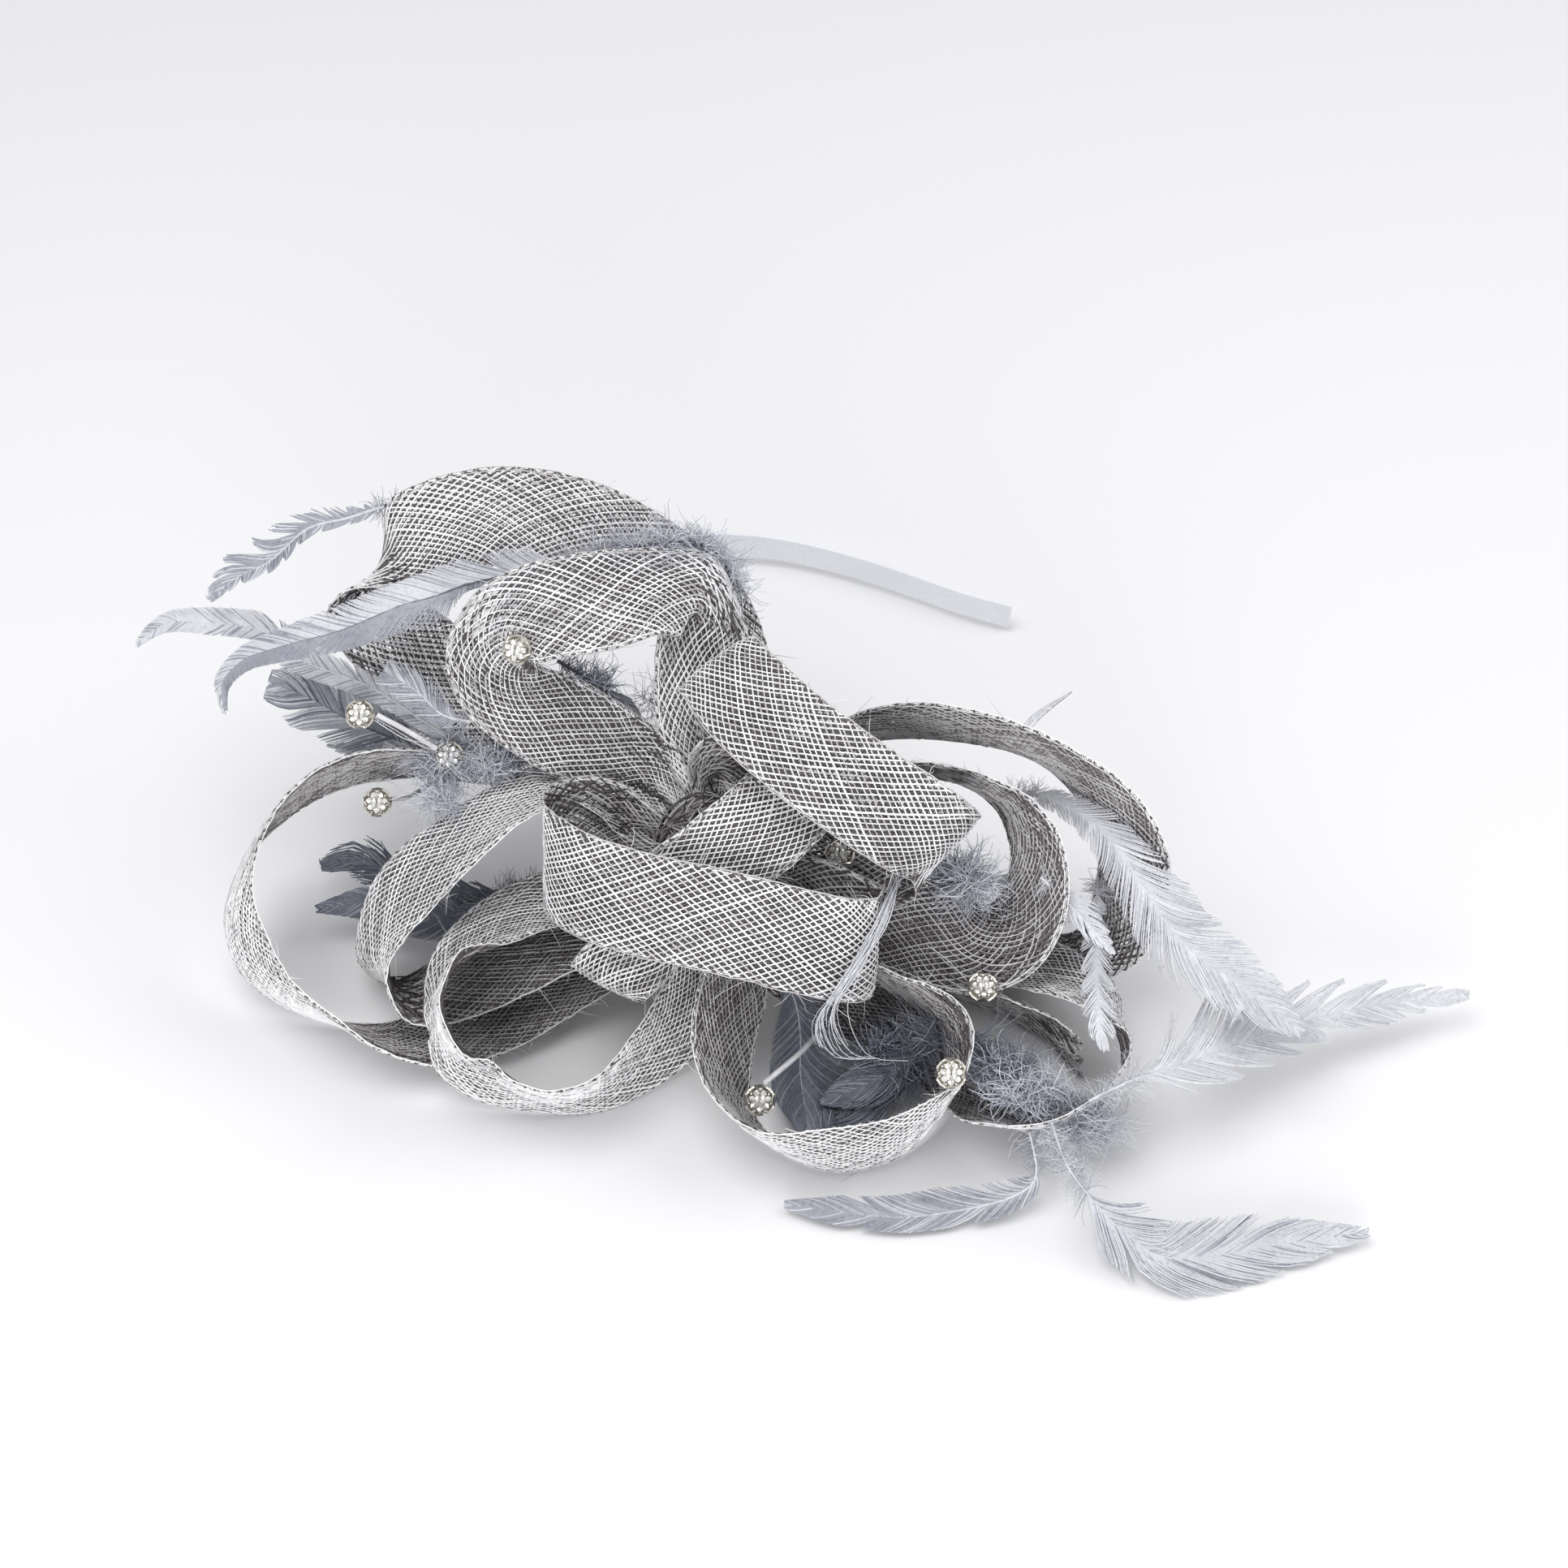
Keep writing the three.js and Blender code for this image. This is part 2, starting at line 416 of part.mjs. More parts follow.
const FEATHERS = {
  plume_over_top: {
    facing: VIEWER,
    table: [
      [0.029, 0.544, 0.805, 0.1, 0.1],
      [0.03, 0.54, 0.86, 0.12, 0.12],
      [-0.01, 0.545, 0.925, 0.3, 0.2],
      [-0.06, 0.55, 0.95, 0.4, 0.3],
      [-0.13, 0.515, 0.985, 0.6, 0.45],
      [-0.38, 0.47, 0.95, 0.75, 0.6],
      [-0.57, 0.46, 0.91, 0.2, 0.7],
      [-0.64, 0.44, 0.905, 0.15, 0.7],
      [-0.68, 0.415, 0.902, 0.5, 0.7],
      [-0.72, 0.393, 0.906, 0.7, 0.7],
      [-0.8, 0.36, 0.905, 0.75, 0.6],
      [-0.95, 0.335, 0.845, 0.55, 0.65],
      [-1.12, 0.33, 0.79, 0.4, 0.45],
      [-1.23, 0.32, 0.74, 0.3, 0.3],
      [-1.28, 0.29, 0.67, 0.2, 0.2],
      [-1.27, 0.27, 0.61, 0.06, 0.06],
    ],
  },
  plume_top_left: {
    facing: VIEWER,
    table: [
      [-0.8185, 0.649, 0.989, 0.09, 0.09],
      [-0.86, 0.66, 0.98, 0.12, 0.12],
      [-0.96, 0.65, 0.95, 0.2, 0.3],
      [-1.06, 0.62, 0.94, 0.2, 0.5],
      [-1.16, 0.56, 0.88, 0.25, 0.75],
      [-1.25, 0.54, 0.84, 0.2, 0.6],
      [-1.32, 0.51, 0.79, 0.06, 0.15],
    ],
  },
  plume_far_left: {
    facing: VIEWER,
    table: [
      [-0.602, 0.266, 0.43, 0.1, 0.1],
      [-0.66, 0.29, 0.48, 0.15, 0.15],
      [-0.75, 0.31, 0.53, 0.25, 0.25],
      [-0.9, 0.36, 0.62, 0.35, 0.35],
      [-1.11, 0.42, 0.68, 0.4, 0.5],
      [-1.17, 0.47, 0.71, 0.3, 0.5],
      [-1.33, 0.51, 0.71, 0.3, 0.45],
      [-1.46, 0.53, 0.69, 0.25, 0.3],
      [-1.54, 0.51, 0.63, 0.06, 0.06],
    ],
  },
  plume_left_fan: {
    facing: VIEWER,
    table: [
      [-0.688, 0.363, 0.34, 0.1, 0.1],
      [-0.76, 0.375, 0.37, 0.2, 0.2],
      [-0.82, 0.375, 0.4, 0.4, 0.4],
      [-0.97, 0.38, 0.48, 0.8, 0.7],
      [-1.1, 0.42, 0.54, 0.9, 0.9],
      [-1.19, 0.44, 0.56, 0.4, 0.4],
    ],
  },
  plume_left_brush: {
    facing: VIEWER,
    table: [
      [-0.634, 0.222, 0.63, 0.1, 0.1],
      [-0.71, 0.26, 0.62, 0.35, 0.35],
      [-0.77, 0.29, 0.67, 0.5, 0.5],
      [-0.86, 0.33, 0.71, 0.35, 0.35],
    ],
  },
  plume_left_low: {
    facing: VIEWER,
    table: [
      [-0.115, 0.02, 0.28, 0.1, 0.1],
      [-0.2, 0.05, 0.23, 0.12, 0.12],
      [-0.35, 0.08, 0.18, 0.2, 0.2],
      [-0.51, 0.06, 0.14, 0.4, 0.4],
      [-0.75, 0.02, 0.1, 0.6, 0.6],
      [-0.93, 0.05, 0.13, 0.5, 0.5],
      [-1.07, 0.04, 0.12, 0.1, 0.1],
    ],
  },
  plume_left_back: {
    facing: { turn: -90, tip: 60 },
    table: [
      [-0.5, 0.0735, 0.1265, 0.12, 0.12],
      [-0.62, 0.11, 0.11, 0.2, 0.2],
      [-0.84, 0.16, 0.1, 0.5, 0.5],
      [-0.98, 0.22, 0.12, 0.5, 0.6],
      [-1.07, 0.18, 0.14, 0.15, 0.15],
    ],
  },
  plume_in_right_loop: {
    facing: VIEWER,
    table: [
      [0.4985, -0.072, 0.377, 0.1, 0.1],
      [0.5, 0.01, 0.33, 0.3, 0.3],
      [0.58, 0.04, 0.27, 0.9, 0.7],
      [0.66, 0.03, 0.24, 1.1, 0.8],
      [0.79, 0.01, 0.19, 1.1, 0.5],
      [0.9, -0.02, 0.16, 0.3, 0.3],
    ],
  },
  plume_over_right: {
    facing: { turn: -60, tip: 40 },
    table: [
      [0.719, 0.156, 0.41, 0.1, 0.1],
      [0.78, 0.165, 0.43, 0.15, 0.15],
      [0.84, 0.1, 0.48, 0.3, 0.3],
      [0.92, 0.01, 0.51, 0.5, 0.4],
      [0.99, -0.09, 0.51, 0.8, 0.6],
      [1.07, -0.24, 0.48, 1.1, 0.9],
      [1.16, -0.37, 0.43, 1.1, 1],
      [1.32, -0.47, 0.37, 0.8, 0.8],
      [1.44, -0.53, 0.29, 0.15, 0.15],
    ],
  },
  plume_hanging: {
    facing: VIEWER,
    table: [
      [0.981, -0.011, 0.294, 0.1, 0.1],
      [0.97, -0.11, 0.31, 0.2, 0.2],
      [0.955, -0.27, 0.31, 0.4, 0.4],
      [0.945, -0.45, 0.29, 0.5, 0.4],
      [0.95, -0.51, 0.27, 0.4, 0.3],
      [0.96, -0.56, 0.26, 0.1, 0.1],
    ],
  },
  plume_right_upper: {
    facing: { turn: -90, tip: 60 },
    table: [
      [0.907, -0.707, 0.2522, 0.1, 0.1],
      [0.94, -0.7, 0.27, 0.3, 0.3],
      [1.02, -0.67, 0.29, 0.7, 0.6],
      [1.12, -0.62, 0.27, 1, 0.7],
      [1.26, -0.54, 0.24, 1.2, 0.7],
      [1.4, -0.45, 0.21, 1.1, 0.7],
      [1.54, -0.37, 0.17, 0.8, 0.6],
      [1.68, -0.31, 0.14, 0.6, 0.5],
      [1.94, -0.24, 0.1, 0.1, 0.1],
    ],
  },
  plume_right_lower: {
    facing: { turn: -90, tip: 70 },
    table: [
      [0.813, -0.76, 0.236, 0.1, 0.1],
      [0.84, -0.87, 0.22, 0.35, 0.35],
      [0.89, -0.9, 0.15, 0.6, 0.6],
      [0.95, -0.94, 0.09, 0.7, 0.7],
      [1.01, -0.98, 0.06, 0.8, 0.7],
      [1.07, -1.02, 0.05, 0.8, 0.8],
      [1.19, -1.01, 0.04, 0.8, 0.8],
      [1.35, -0.98, 0.04, 0.7, 0.6],
      [1.58, -0.94, 0.04, 0.1, 0.1],
    ],
  },
  plume_along_floor: {
    facing: { turn: -90, tip: 75 },
    table: [
      [0.7655, -0.742, 0.175, 0.1, 0.1],
      [0.78, -0.82, 0.09, 0.2, 0.2],
      [0.73, -0.84, 0.05, 0.4, 0.5],
      [0.66, -0.86, 0.04, 0.4, 0.6],
      [0.54, -0.88, 0.03, 0.4, 0.7],
      [0.44, -0.89, 0.03, 0.4, 0.6],
      [0.28, -0.87, 0.03, 0.35, 0.4],
      [0.17, -0.85, 0.03, 0.1, 0.1],
    ],
  },
  plume_in_front_loop: {
    facing: { turn: -90, tip: 70 },
    table: [
      [0.0383, -0.0957, 0.2648, 0.1, 0.1],
      [0.12, -0.2, 0.2, 0.12, 0.12],
      [0.19, -0.29, 0.16, 0.5, 0.3],
      [0.21, -0.38, 0.12, 1.2, 0.7],
      [0.21, -0.48, 0.08, 1.7, 0.8],
      [0.22, -0.56, 0.06, 1.7, 0.7],
      [0.23, -0.65, 0.05, 0.6, 0.2],
    ],
  },
  plume_in_low_loop: {
    facing: { turn: -90, tip: 60 },
    table: [
      [0.612, -0.477, 0.2125, 0.1, 0.1],
      [0.66, -0.51, 0.18, 0.6, 0.5],
      [0.72, -0.56, 0.15, 1.2, 0.6],
      [0.79, -0.59, 0.12, 1.2, 0.6],
      [0.86, -0.61, 0.1, 0.4, 0.3],
    ],
  },
};

const FEATHER_STEPS = 18;
function featherGeometry({ facing, table }) {
  const stations = rows(FEATHER_COLUMNS, table);
  const points = stations.map((row) => inShares(row.right, row.back, row.up));
  const curve = new THREE.CatmullRomCurve3(points, false, "centripetal");
  const look = heading(facing.turn, facing.tip);
  return bentBox(FEATHER_STEPS, 2, (along, across, through) => {
    const t = curve.getUtoTmapping(along);
    const side = look.clone().cross(curve.getTangent(t)).normalize();
    const face = curve.getTangent(t).cross(side).normalize();
    const slot = Math.min(t * (stations.length - 1), stations.length - 1 - 1e-9);
    const first = stations[Math.floor(slot)];
    const second = stations[Math.floor(slot) + 1];
    const column = across > 0 ? "high" : "low";
    const reach = THREE.MathUtils.lerp(first[column], second[column], slot % 1) * VANE;
    const thick = across === 0 ? QUILL - 0.6 * along : VANE_EDGE;
    return curve
      .getPoint(t)
      .addScaledVector(side, across * reach)
      .addScaledVector(face, (through * thick) / 2);
  });
}

// Crystals. Each sits in a cup with four prongs.
const STONE_RADIUS = 3;
const STONE_SEAT = { culet: -1.7, table: 1.2, tableRadius: 1.7 };
const CUP = { floor: -2.6, wall: 3.9, rim: 0.25 };

function stoneGeometry() {
  const profile = [
    [0, STONE_SEAT.culet],
    [STONE_RADIUS, -0.1],
    [STONE_RADIUS, 0.1],
    [STONE_SEAT.tableRadius, STONE_SEAT.table],
    [0, STONE_SEAT.table],
  ];
  return new THREE.LatheGeometry(profile.map(([x, y]) => new THREE.Vector2(x, y)), 8);
}

function cupGeometry() {
  const profile = [
    [0, CUP.floor],
    [2.2, CUP.floor],
    [CUP.wall, -0.5],
    [CUP.wall, CUP.rim],
    [3.4, CUP.rim],
    [3.4, -0.4],
    [0.7, -1.9],
    [0, -1.9],
  ];
  const sides = 16;
  const geometry = new THREE.LatheGeometry(profile.map(([x, y]) => new THREE.Vector2(x, y)), sides);
  const corners = geometry.getAttribute("position");
  for (let i = 0; i < corners.count; i++) {
    const isRim = Math.abs(corners.getY(i) - CUP.rim) < 1e-6;
    const spoke = Math.round((Math.atan2(corners.getX(i), corners.getZ(i)) / (2 * Math.PI)) * sides);
    const radius = Math.hypot(corners.getX(i), corners.getZ(i));
    if (isRim && ((spoke % 4) + 4) % 4 === 0) {
      const inward = (radius > 3.6 ? 3.1 : 2.7) / radius;
      corners.setXYZ(i, corners.getX(i) * inward, radius > 3.6 ? 1.5 : 1.1, corners.getZ(i) * inward);
    }
  }
  return geometry;
}

// Three crystals are stitched to a loop, at a share along it and across its width, on one of its faces.
const STITCHED = {
  crystal_1: { loop: "upper_loop", along: 0.57, across: -0.62, side: -1, lift: 0.2 },
  crystal_5: { loop: "shoulder_loop", along: 0.9, across: 0.25, side: -1, lift: 0.2 },
  crystal_6: { loop: "right_inner_loop", along: 0.675, across: 0.95, side: 1, lift: 0.6 },
};

// The others face the front, at the edge of a loop or out on a thread stem that runs back to its stitch.
const STANDING = {
  crystal_2: {
    at: [-0.92, 0.25, 0.63],
    stem: [[-0.876, 0.252, 0.627], [-0.8, 0.24, 0.58], [-0.731, 0.232, 0.526]],
  },
  crystal_3: { at: [-0.7, 0.228, 0.502] },
  crystal_4: {
    at: [-0.89, 0.16, 0.4],
    stem: [[-0.866, 0.184, 0.386], [-0.82, 0.25, 0.33], [-0.775, 0.368, 0.27]],
  },
  crystal_7: { at: [0.572, -0.669, 0.309] },
  crystal_8: {
    at: [0.11, -0.645, 0.175],
    stem: [[0.1235, -0.614, 0.206], [0.21, -0.49, 0.17], [0.25, -0.4, 0.127]],
  },
};
const STEM_RADIUS = 0.7;

// A round bar bent along points given as shares.
function stemGeometry(points) {
  const curve = new THREE.CatmullRomCurve3(points.map((point) => inShares(...point)));
  const bar = new THREE.CylinderGeometry(STEM_RADIUS, STEM_RADIUS, 1, 6, 8);
  bar.deleteAttribute("normal");
  bar.deleteAttribute("uv");
  const corners = bar.getAttribute("position");
  for (let i = 0; i < corners.count; i++) {
    const along = 0.5 - corners.getY(i);
    const tangent = curve.getTangentAt(along);
    const first = new THREE.Vector3(0, 0, 1).cross(tangent).normalize();
    const second = tangent.clone().cross(first);
    const point = curve
      .getPointAt(along)
      .addScaledVector(first, corners.getX(i))
      .addScaledVector(second, corners.getZ(i));
    corners.setXYZ(i, point.x, point.y, point.z);
  }
  const merged = mergeVertices(bar, 1e-4);
  merged.computeVertexNormals();
  return merged;
}

const group = new THREE.Group();
function add(name, geometry, finish) {
  const mesh = new THREE.Mesh(geometry, new THREE.MeshStandardMaterial(MATERIALS[finish]));
  mesh.name = name;
  group.add(mesh);
  return mesh;
}

const hub = add("hub", hubGeometry(), "hub");
hub.position.copy(hubCentre);
hub.quaternion.setFromUnitVectors(new THREE.Vector3(0, 1, 0), BAND_OUTWARD);
add("headband", bandGeometry(), "satin");
for (const [name, loop] of Object.entries(LOOPS)) add(name, loopGeometry(loopRoutes[name]), "straw");
for (const [name, feather] of Object.entries(FEATHERS)) add(name, featherGeometry(feather), "feather");

const UPRIGHT = new THREE.Vector3(0, 1, 0);
function addCrystal(name, centre, face) {
  const cup = add(name + "_cup", cupGeometry(), "metal");
  const stone = add(name + "_stone", stoneGeometry(), "crystal");
  for (const piece of [cup, stone]) {
    piece.position.copy(centre);
    piece.quaternion.setFromUnitVectors(UPRIGHT, face);
  }
}

for (const [name, { loop, along, across, side, lift }] of Object.entries(STITCHED)) {
  const at = loopRoutes[loop](along);
  const face = at.face.clone().multiplyScalar(side);
  const proud = STRIP_THICKNESS / 2 + STRIP_BOW * (1 - across * across) * at.share * side;
  const centre = at.point
    .clone()
    .addScaledVector(at.width, (across * at.share * STRIP_WIDTH) / 2)
    .addScaledVector(face, proud + GAP + lift - CUP.floor);
  addCrystal(name, centre, face);
}
for (const [name, { at, stem }] of Object.entries(STANDING)) {
  addCrystal(name, inShares(...at), heading(VIEWER.turn, VIEWER.tip));
  if (stem) add(name + "_stem", stemGeometry(stem), "thread");
}

// The group is moved so that its box stands on the floor, centred over the origin.
group.updateMatrixWorld(true);
const box = new THREE.Box3();
group.traverse((piece) => {
  if (piece.isMesh) box.expandByObject(piece, true);
});
const middle = box.getCenter(new THREE.Vector3());
group.position.set(-middle.x, -middle.y, -box.min.z);

export default group;
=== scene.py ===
import itertools
import math
import random

import bmesh
import bpy
import numpy as np
from mathutils import Matrix, Vector


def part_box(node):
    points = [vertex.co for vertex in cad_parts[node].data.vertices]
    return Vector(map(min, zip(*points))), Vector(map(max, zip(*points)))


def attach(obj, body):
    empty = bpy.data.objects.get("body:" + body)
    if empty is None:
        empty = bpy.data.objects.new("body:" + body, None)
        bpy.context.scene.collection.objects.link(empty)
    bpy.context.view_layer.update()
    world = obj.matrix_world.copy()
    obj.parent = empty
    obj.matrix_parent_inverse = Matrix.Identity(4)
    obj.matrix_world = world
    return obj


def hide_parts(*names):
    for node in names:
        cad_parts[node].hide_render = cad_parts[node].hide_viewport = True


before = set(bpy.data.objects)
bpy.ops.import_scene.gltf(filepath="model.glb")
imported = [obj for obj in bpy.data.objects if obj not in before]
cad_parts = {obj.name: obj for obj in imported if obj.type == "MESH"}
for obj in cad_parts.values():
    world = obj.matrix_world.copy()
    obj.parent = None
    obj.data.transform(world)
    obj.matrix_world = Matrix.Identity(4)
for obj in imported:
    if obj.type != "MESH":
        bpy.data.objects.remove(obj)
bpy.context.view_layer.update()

MM = 0.001
LOOPS = [
    "crown_loop", "upper_loop", "shoulder_loop", "knot_loop", "front_loop", "tuck_loop", "left_outer_loop",
    "left_inner_loop", "front_left_loop", "front_right_loop", "right_low_loop", "right_inner_loop",
    "right_outer_loop", "right_tail",
]


def add(name, data):
    """A new object in the scene that shows the data."""
    item = bpy.data.objects.new(name, data)
    bpy.context.scene.collection.objects.link(item)
    return item


# Camera, floor and light

VIEW_TARGET = Vector((-0.003, -0.0129, 0.0503))
VIEW_DISTANCE = 0.7
VIEW_TILT = math.radians(45)
HALF_FIELD = math.radians(16.04)
SKY_COLOUR = (0.94, 0.945, 0.96, 1)
SKY_STRENGTH = 0.64
FLOOR_COLOUR = (0.8, 0.8, 0.81, 1)
FLOOR_HALF_SIZE = 6


def set_camera():
    lens = bpy.data.cameras.new("camera")
    lens.sensor_fit = "HORIZONTAL"
    lens.sensor_width = 36
    lens.angle = 2 * HALF_FIELD
    lens.clip_start = 0.01
    camera = add("camera", lens)
    towards = Vector((0, -math.cos(VIEW_TILT), math.sin(VIEW_TILT)))
    camera.location = VIEW_TARGET + towards * VIEW_DISTANCE
    camera.rotation_euler = (math.pi / 2 - VIEW_TILT, 0, 0)
    bpy.context.scene.camera = camera


def area_light(name, place, aim, size, power):
    data = bpy.data.lights.new(name, "AREA")
    data.shape = "DISK"
    data.size = size
    data.energy = power
    lamp = add(name, data)
    lamp.location = place
    lamp.rotation_euler = (Vector(aim) - Vector(place)).to_track_quat("-Z", "Y").to_euler()


def set_light():
    world = bpy.data.worlds.new("studio")
    world.use_nodes = True
    sky = world.node_tree.nodes["Background"]
    sky.inputs["Color"].default_value = SKY_COLOUR
    sky.inputs["Strength"].default_value = SKY_STRENGTH
    bpy.context.scene.world = world
    area_light("window", place=(-0.3, -0.15, 1.15), aim=(0, 0, 0.03), size=0.9, power=6.4)
    area_light("fill", place=(0.9, 0.1, 0.9), aim=(0.1, 0.1, 0.03), size=0.9, power=4)
    area_light("front", place=(-0.05, -1.0, 0.27), aim=(0, 0, 0.05), size=0.6, power=5.2)
    bpy.context.scene.view_settings.view_transform = "Standard"
    bpy.context.scene.view_settings.look = "None"


def make_floor():
    mesh = bpy.data.meshes.new("floor")
    bm = bmesh.new()
    bmesh.ops.create_grid(bm, x_segments=1, y_segments=1, size=FLOOR_HALF_SIZE)
    bm.to_mesh(mesh)
    bm.free()
    floor = add("floor", mesh)
    paper = bpy.data.materials.new("floor_paper")
    paper.use_nodes = True
    shader = paper.node_tree.nodes["Principled BSDF"]
    shader.inputs["Base Color"].default_value = FLOOR_COLOUR
    shader.inputs["Roughness"].default_value = 0.9
    mesh.materials.append(paper)


# Materials

MIX_SHARE, MIX_BELOW, MIX_ABOVE, MIX_RESULT = 0, 6, 7, 2  # the colour sockets of a mix node, by number
RELIEF_DEPTH = 0.3 * MM


def tone_group():
    """Colour that drifts between three tones in patches, with fine streaks on top."""
    group = bpy.data.node_groups.new("fibre_tone", "ShaderNodeTree")
    face = group.interface
    for name in ("Light", "Middle", "Deep"):
        face.new_socket(name=name, in_out="INPUT", socket_type="NodeSocketColor")
    for name in ("Patch", "Grain"):
        face.new_socket(name=name, in_out="INPUT", socket_type="NodeSocketFloat")
    face.new_socket(name="Color", in_out="OUTPUT", socket_type="NodeSocketColor")
    face.new_socket(name="Height", in_out="OUTPUT", socket_type="NodeSocketFloat")
    nodes, links = group.nodes, group.links
    given = nodes.new("NodeGroupInput")
    out = nodes.new("NodeGroupOutput")
    place = nodes.new("ShaderNodeTexCoord")
    patch = nodes.new("ShaderNodeTexNoise")
    patch.inputs["Detail"].default_value = 3
    grain = nodes.new("ShaderNodeTexNoise")
    grain.inputs["Detail"].default_value = 2
    for texture, scale in ((patch, "Patch"), (grain, "Grain")):
        links.new(place.outputs["Object"], texture.inputs["Vector"])
        links.new(given.outputs[scale], texture.inputs["Scale"])

    def stretched(value, low, high, top):
        part = nodes.new("ShaderNodeMapRange")
        part.inputs["From Min"].default_value = low
        part.inputs["From Max"].default_value = high
        part.inputs["To Max"].default_value = top
        links.new(value, part.inputs["Value"])
        return part.outputs["Result"]

    def mixed(share, below, above):
        mix = nodes.new("ShaderNodeMix")
        mix.data_type = "RGBA"
        links.new(share, mix.inputs[MIX_SHARE])
        links.new(below, mix.inputs[MIX_BELOW])
        links.new(above, mix.inputs[MIX_ABOVE])
        return mix.outputs[MIX_RESULT]

    light_share = stretched(patch.outputs["Fac"], low=0.35, high=0.65, top=1)
    patches = mixed(light_share, given.outputs["Middle"], given.outputs["Light"])
    deep_share = stretched(grain.outputs["Fac"], low=0.5, high=0.75, top=0.7)
    streaks = mixed(deep_share, patches, given.outputs["Deep"])
    links.new(streaks, out.inputs["Color"])
    links.new(grain.outputs["Fac"], out.inputs["Height"])
    return group


TONE = tone_group()


def finish(name, light, middle, deep, roughness, patch=60, grain=900, bump=0.15, **shader_values):
    """A fibre, cloth or metal finish: three tones in the fibre_tone group, and a fine bump."""
    material = bpy.data.materials.new(name)
    material.use_nodes = True
    nodes, links = material.node_tree.nodes, material.node_tree.links
    shader = nodes["Principled BSDF"]
    tone = nodes.new("ShaderNodeGroup")
    tone.node_tree = TONE
    for socket, value in (("Light", light), ("Middle", middle), ("Deep", deep)):
        tone.inputs[socket].default_value = (*value, 1)
    tone.inputs["Patch"].default_value = patch
    tone.inputs["Grain"].default_value = grain
    links.new(tone.outputs["Color"], shader.inputs["Base Color"])
    relief = nodes.new("ShaderNodeBump")
    relief.inputs["Strength"].default_value = bump
    relief.inputs["Distance"].default_value = RELIEF_DEPTH
    links.new(tone.outputs["Height"], relief.inputs["Height"])
    links.new(relief.outputs["Normal"], shader.inputs["Normal"])
    shader.inputs["Roughness"].default_value = roughness
    for socket, value in shader_values.items():
        shader.inputs[socket.replace("_", " ")].default_value = value
    return material


STRAW_BRIGHT = finish("straw_bright", (0.96, 0.96, 0.97), (0.85, 0.84, 0.85), (0.64, 0.63, 0.64), 0.36)
STRAW_SILVER = finish("straw_silver", (0.66, 0.65, 0.66), (0.52, 0.5, 0.51), (0.38, 0.36, 0.37), 0.4)
# This finish is straw in painted half shade, for the dim inner layers and the hub wrap.
STRAW_PAINTED_HALF_SHADE = finish("straw_painted_half_shade", (0.36, 0.34, 0.35), (0.25, 0.23, 0.24), (0.15, 0.13, 0.14), 0.5)
# This finish is painted shade: near-black strands that darken the open cells between a strip's two layers,
# and some turns of the hub wrap.
STRAW_PAINTED_SHADE = finish("straw_painted_shade", (0.11, 0.095, 0.1), (0.07, 0.062, 0.066), (0.04, 0.034, 0.037), 0.6)
VANE_SLATE = finish("vane_slate", (0.2, 0.22, 0.27), (0.13, 0.14, 0.18), (0.07, 0.08, 0.11), 0.55)
VANE_BLUE = finish("vane_blue", (0.4, 0.41, 0.46), (0.31, 0.32, 0.37), (0.22, 0.23, 0.28), 0.55)
VANE_PALE = finish("vane_pale", (0.68, 0.69, 0.72), (0.57, 0.58, 0.62), (0.46, 0.47, 0.51), 0.55)
VANE_WHITE = finish("vane_white", (0.8, 0.81, 0.84), (0.7, 0.71, 0.75), (0.58, 0.59, 0.63), 0.55)
DOWN_PALE = finish("down_pale", (0.72, 0.74, 0.79), (0.6, 0.62, 0.68), (0.46, 0.48, 0.55), 0.7)
DOWN_BLUE = finish("down_blue", (0.46, 0.48, 0.55), (0.36, 0.38, 0.45), (0.25, 0.27, 0.33), 0.7)
QUILL_PALE = finish("quill_pale", (0.66, 0.67, 0.7), (0.55, 0.56, 0.6), (0.42, 0.43, 0.48), 0.4)
QUILL_DARK = finish("quill_dark", (0.16, 0.17, 0.2), (0.1, 0.11, 0.13), (0.06, 0.06, 0.08), 0.4)
SATIN = finish("satin_band", (0.86, 0.87, 0.9), (0.8, 0.81, 0.85), (0.72, 0.73, 0.78), 0.32,
               patch=40, grain=1500, bump=0.08)
# The hub's straw is darkened with painted shade, for the shade under the loops that cover it.
HUB_PAINTED_SHADE = finish("hub_painted_shade", (0.5, 0.48, 0.5), (0.38, 0.36, 0.38), (0.24, 0.22, 0.24), 0.6,
                   patch=200, grain=1600, bump=0.6)
THREAD = finish("sewing_thread", (0.75, 0.75, 0.76), (0.6, 0.6, 0.62), (0.42, 0.42, 0.45), 0.5,
                patch=300, grain=2400)
CUP_METAL = finish("cup_metal", (0.86, 0.83, 0.76), (0.74, 0.71, 0.65), (0.5, 0.48, 0.44), 0.22,
                   patch=400, grain=1500, bump=0.2, Metallic=1.0)
# The stone's champagne tint is its own colour; its light and dark flecks are painted reflections of its
# facets.
STONE_CHAMPAGNE_AND_PAINTED_GLINTS = finish("stone_champagne_painted_glints", (0.95, 0.945, 0.92), (0.84, 0.83, 0.8), (0.4, 0.395, 0.37), 0.2,
                   patch=420, grain=800, bump=0.5, Metallic=0.6)


# Reading a strip or a feather off its CAD node

RING_POINTS = 6
FEWEST_RINGS = 10
WELD = 1e-6


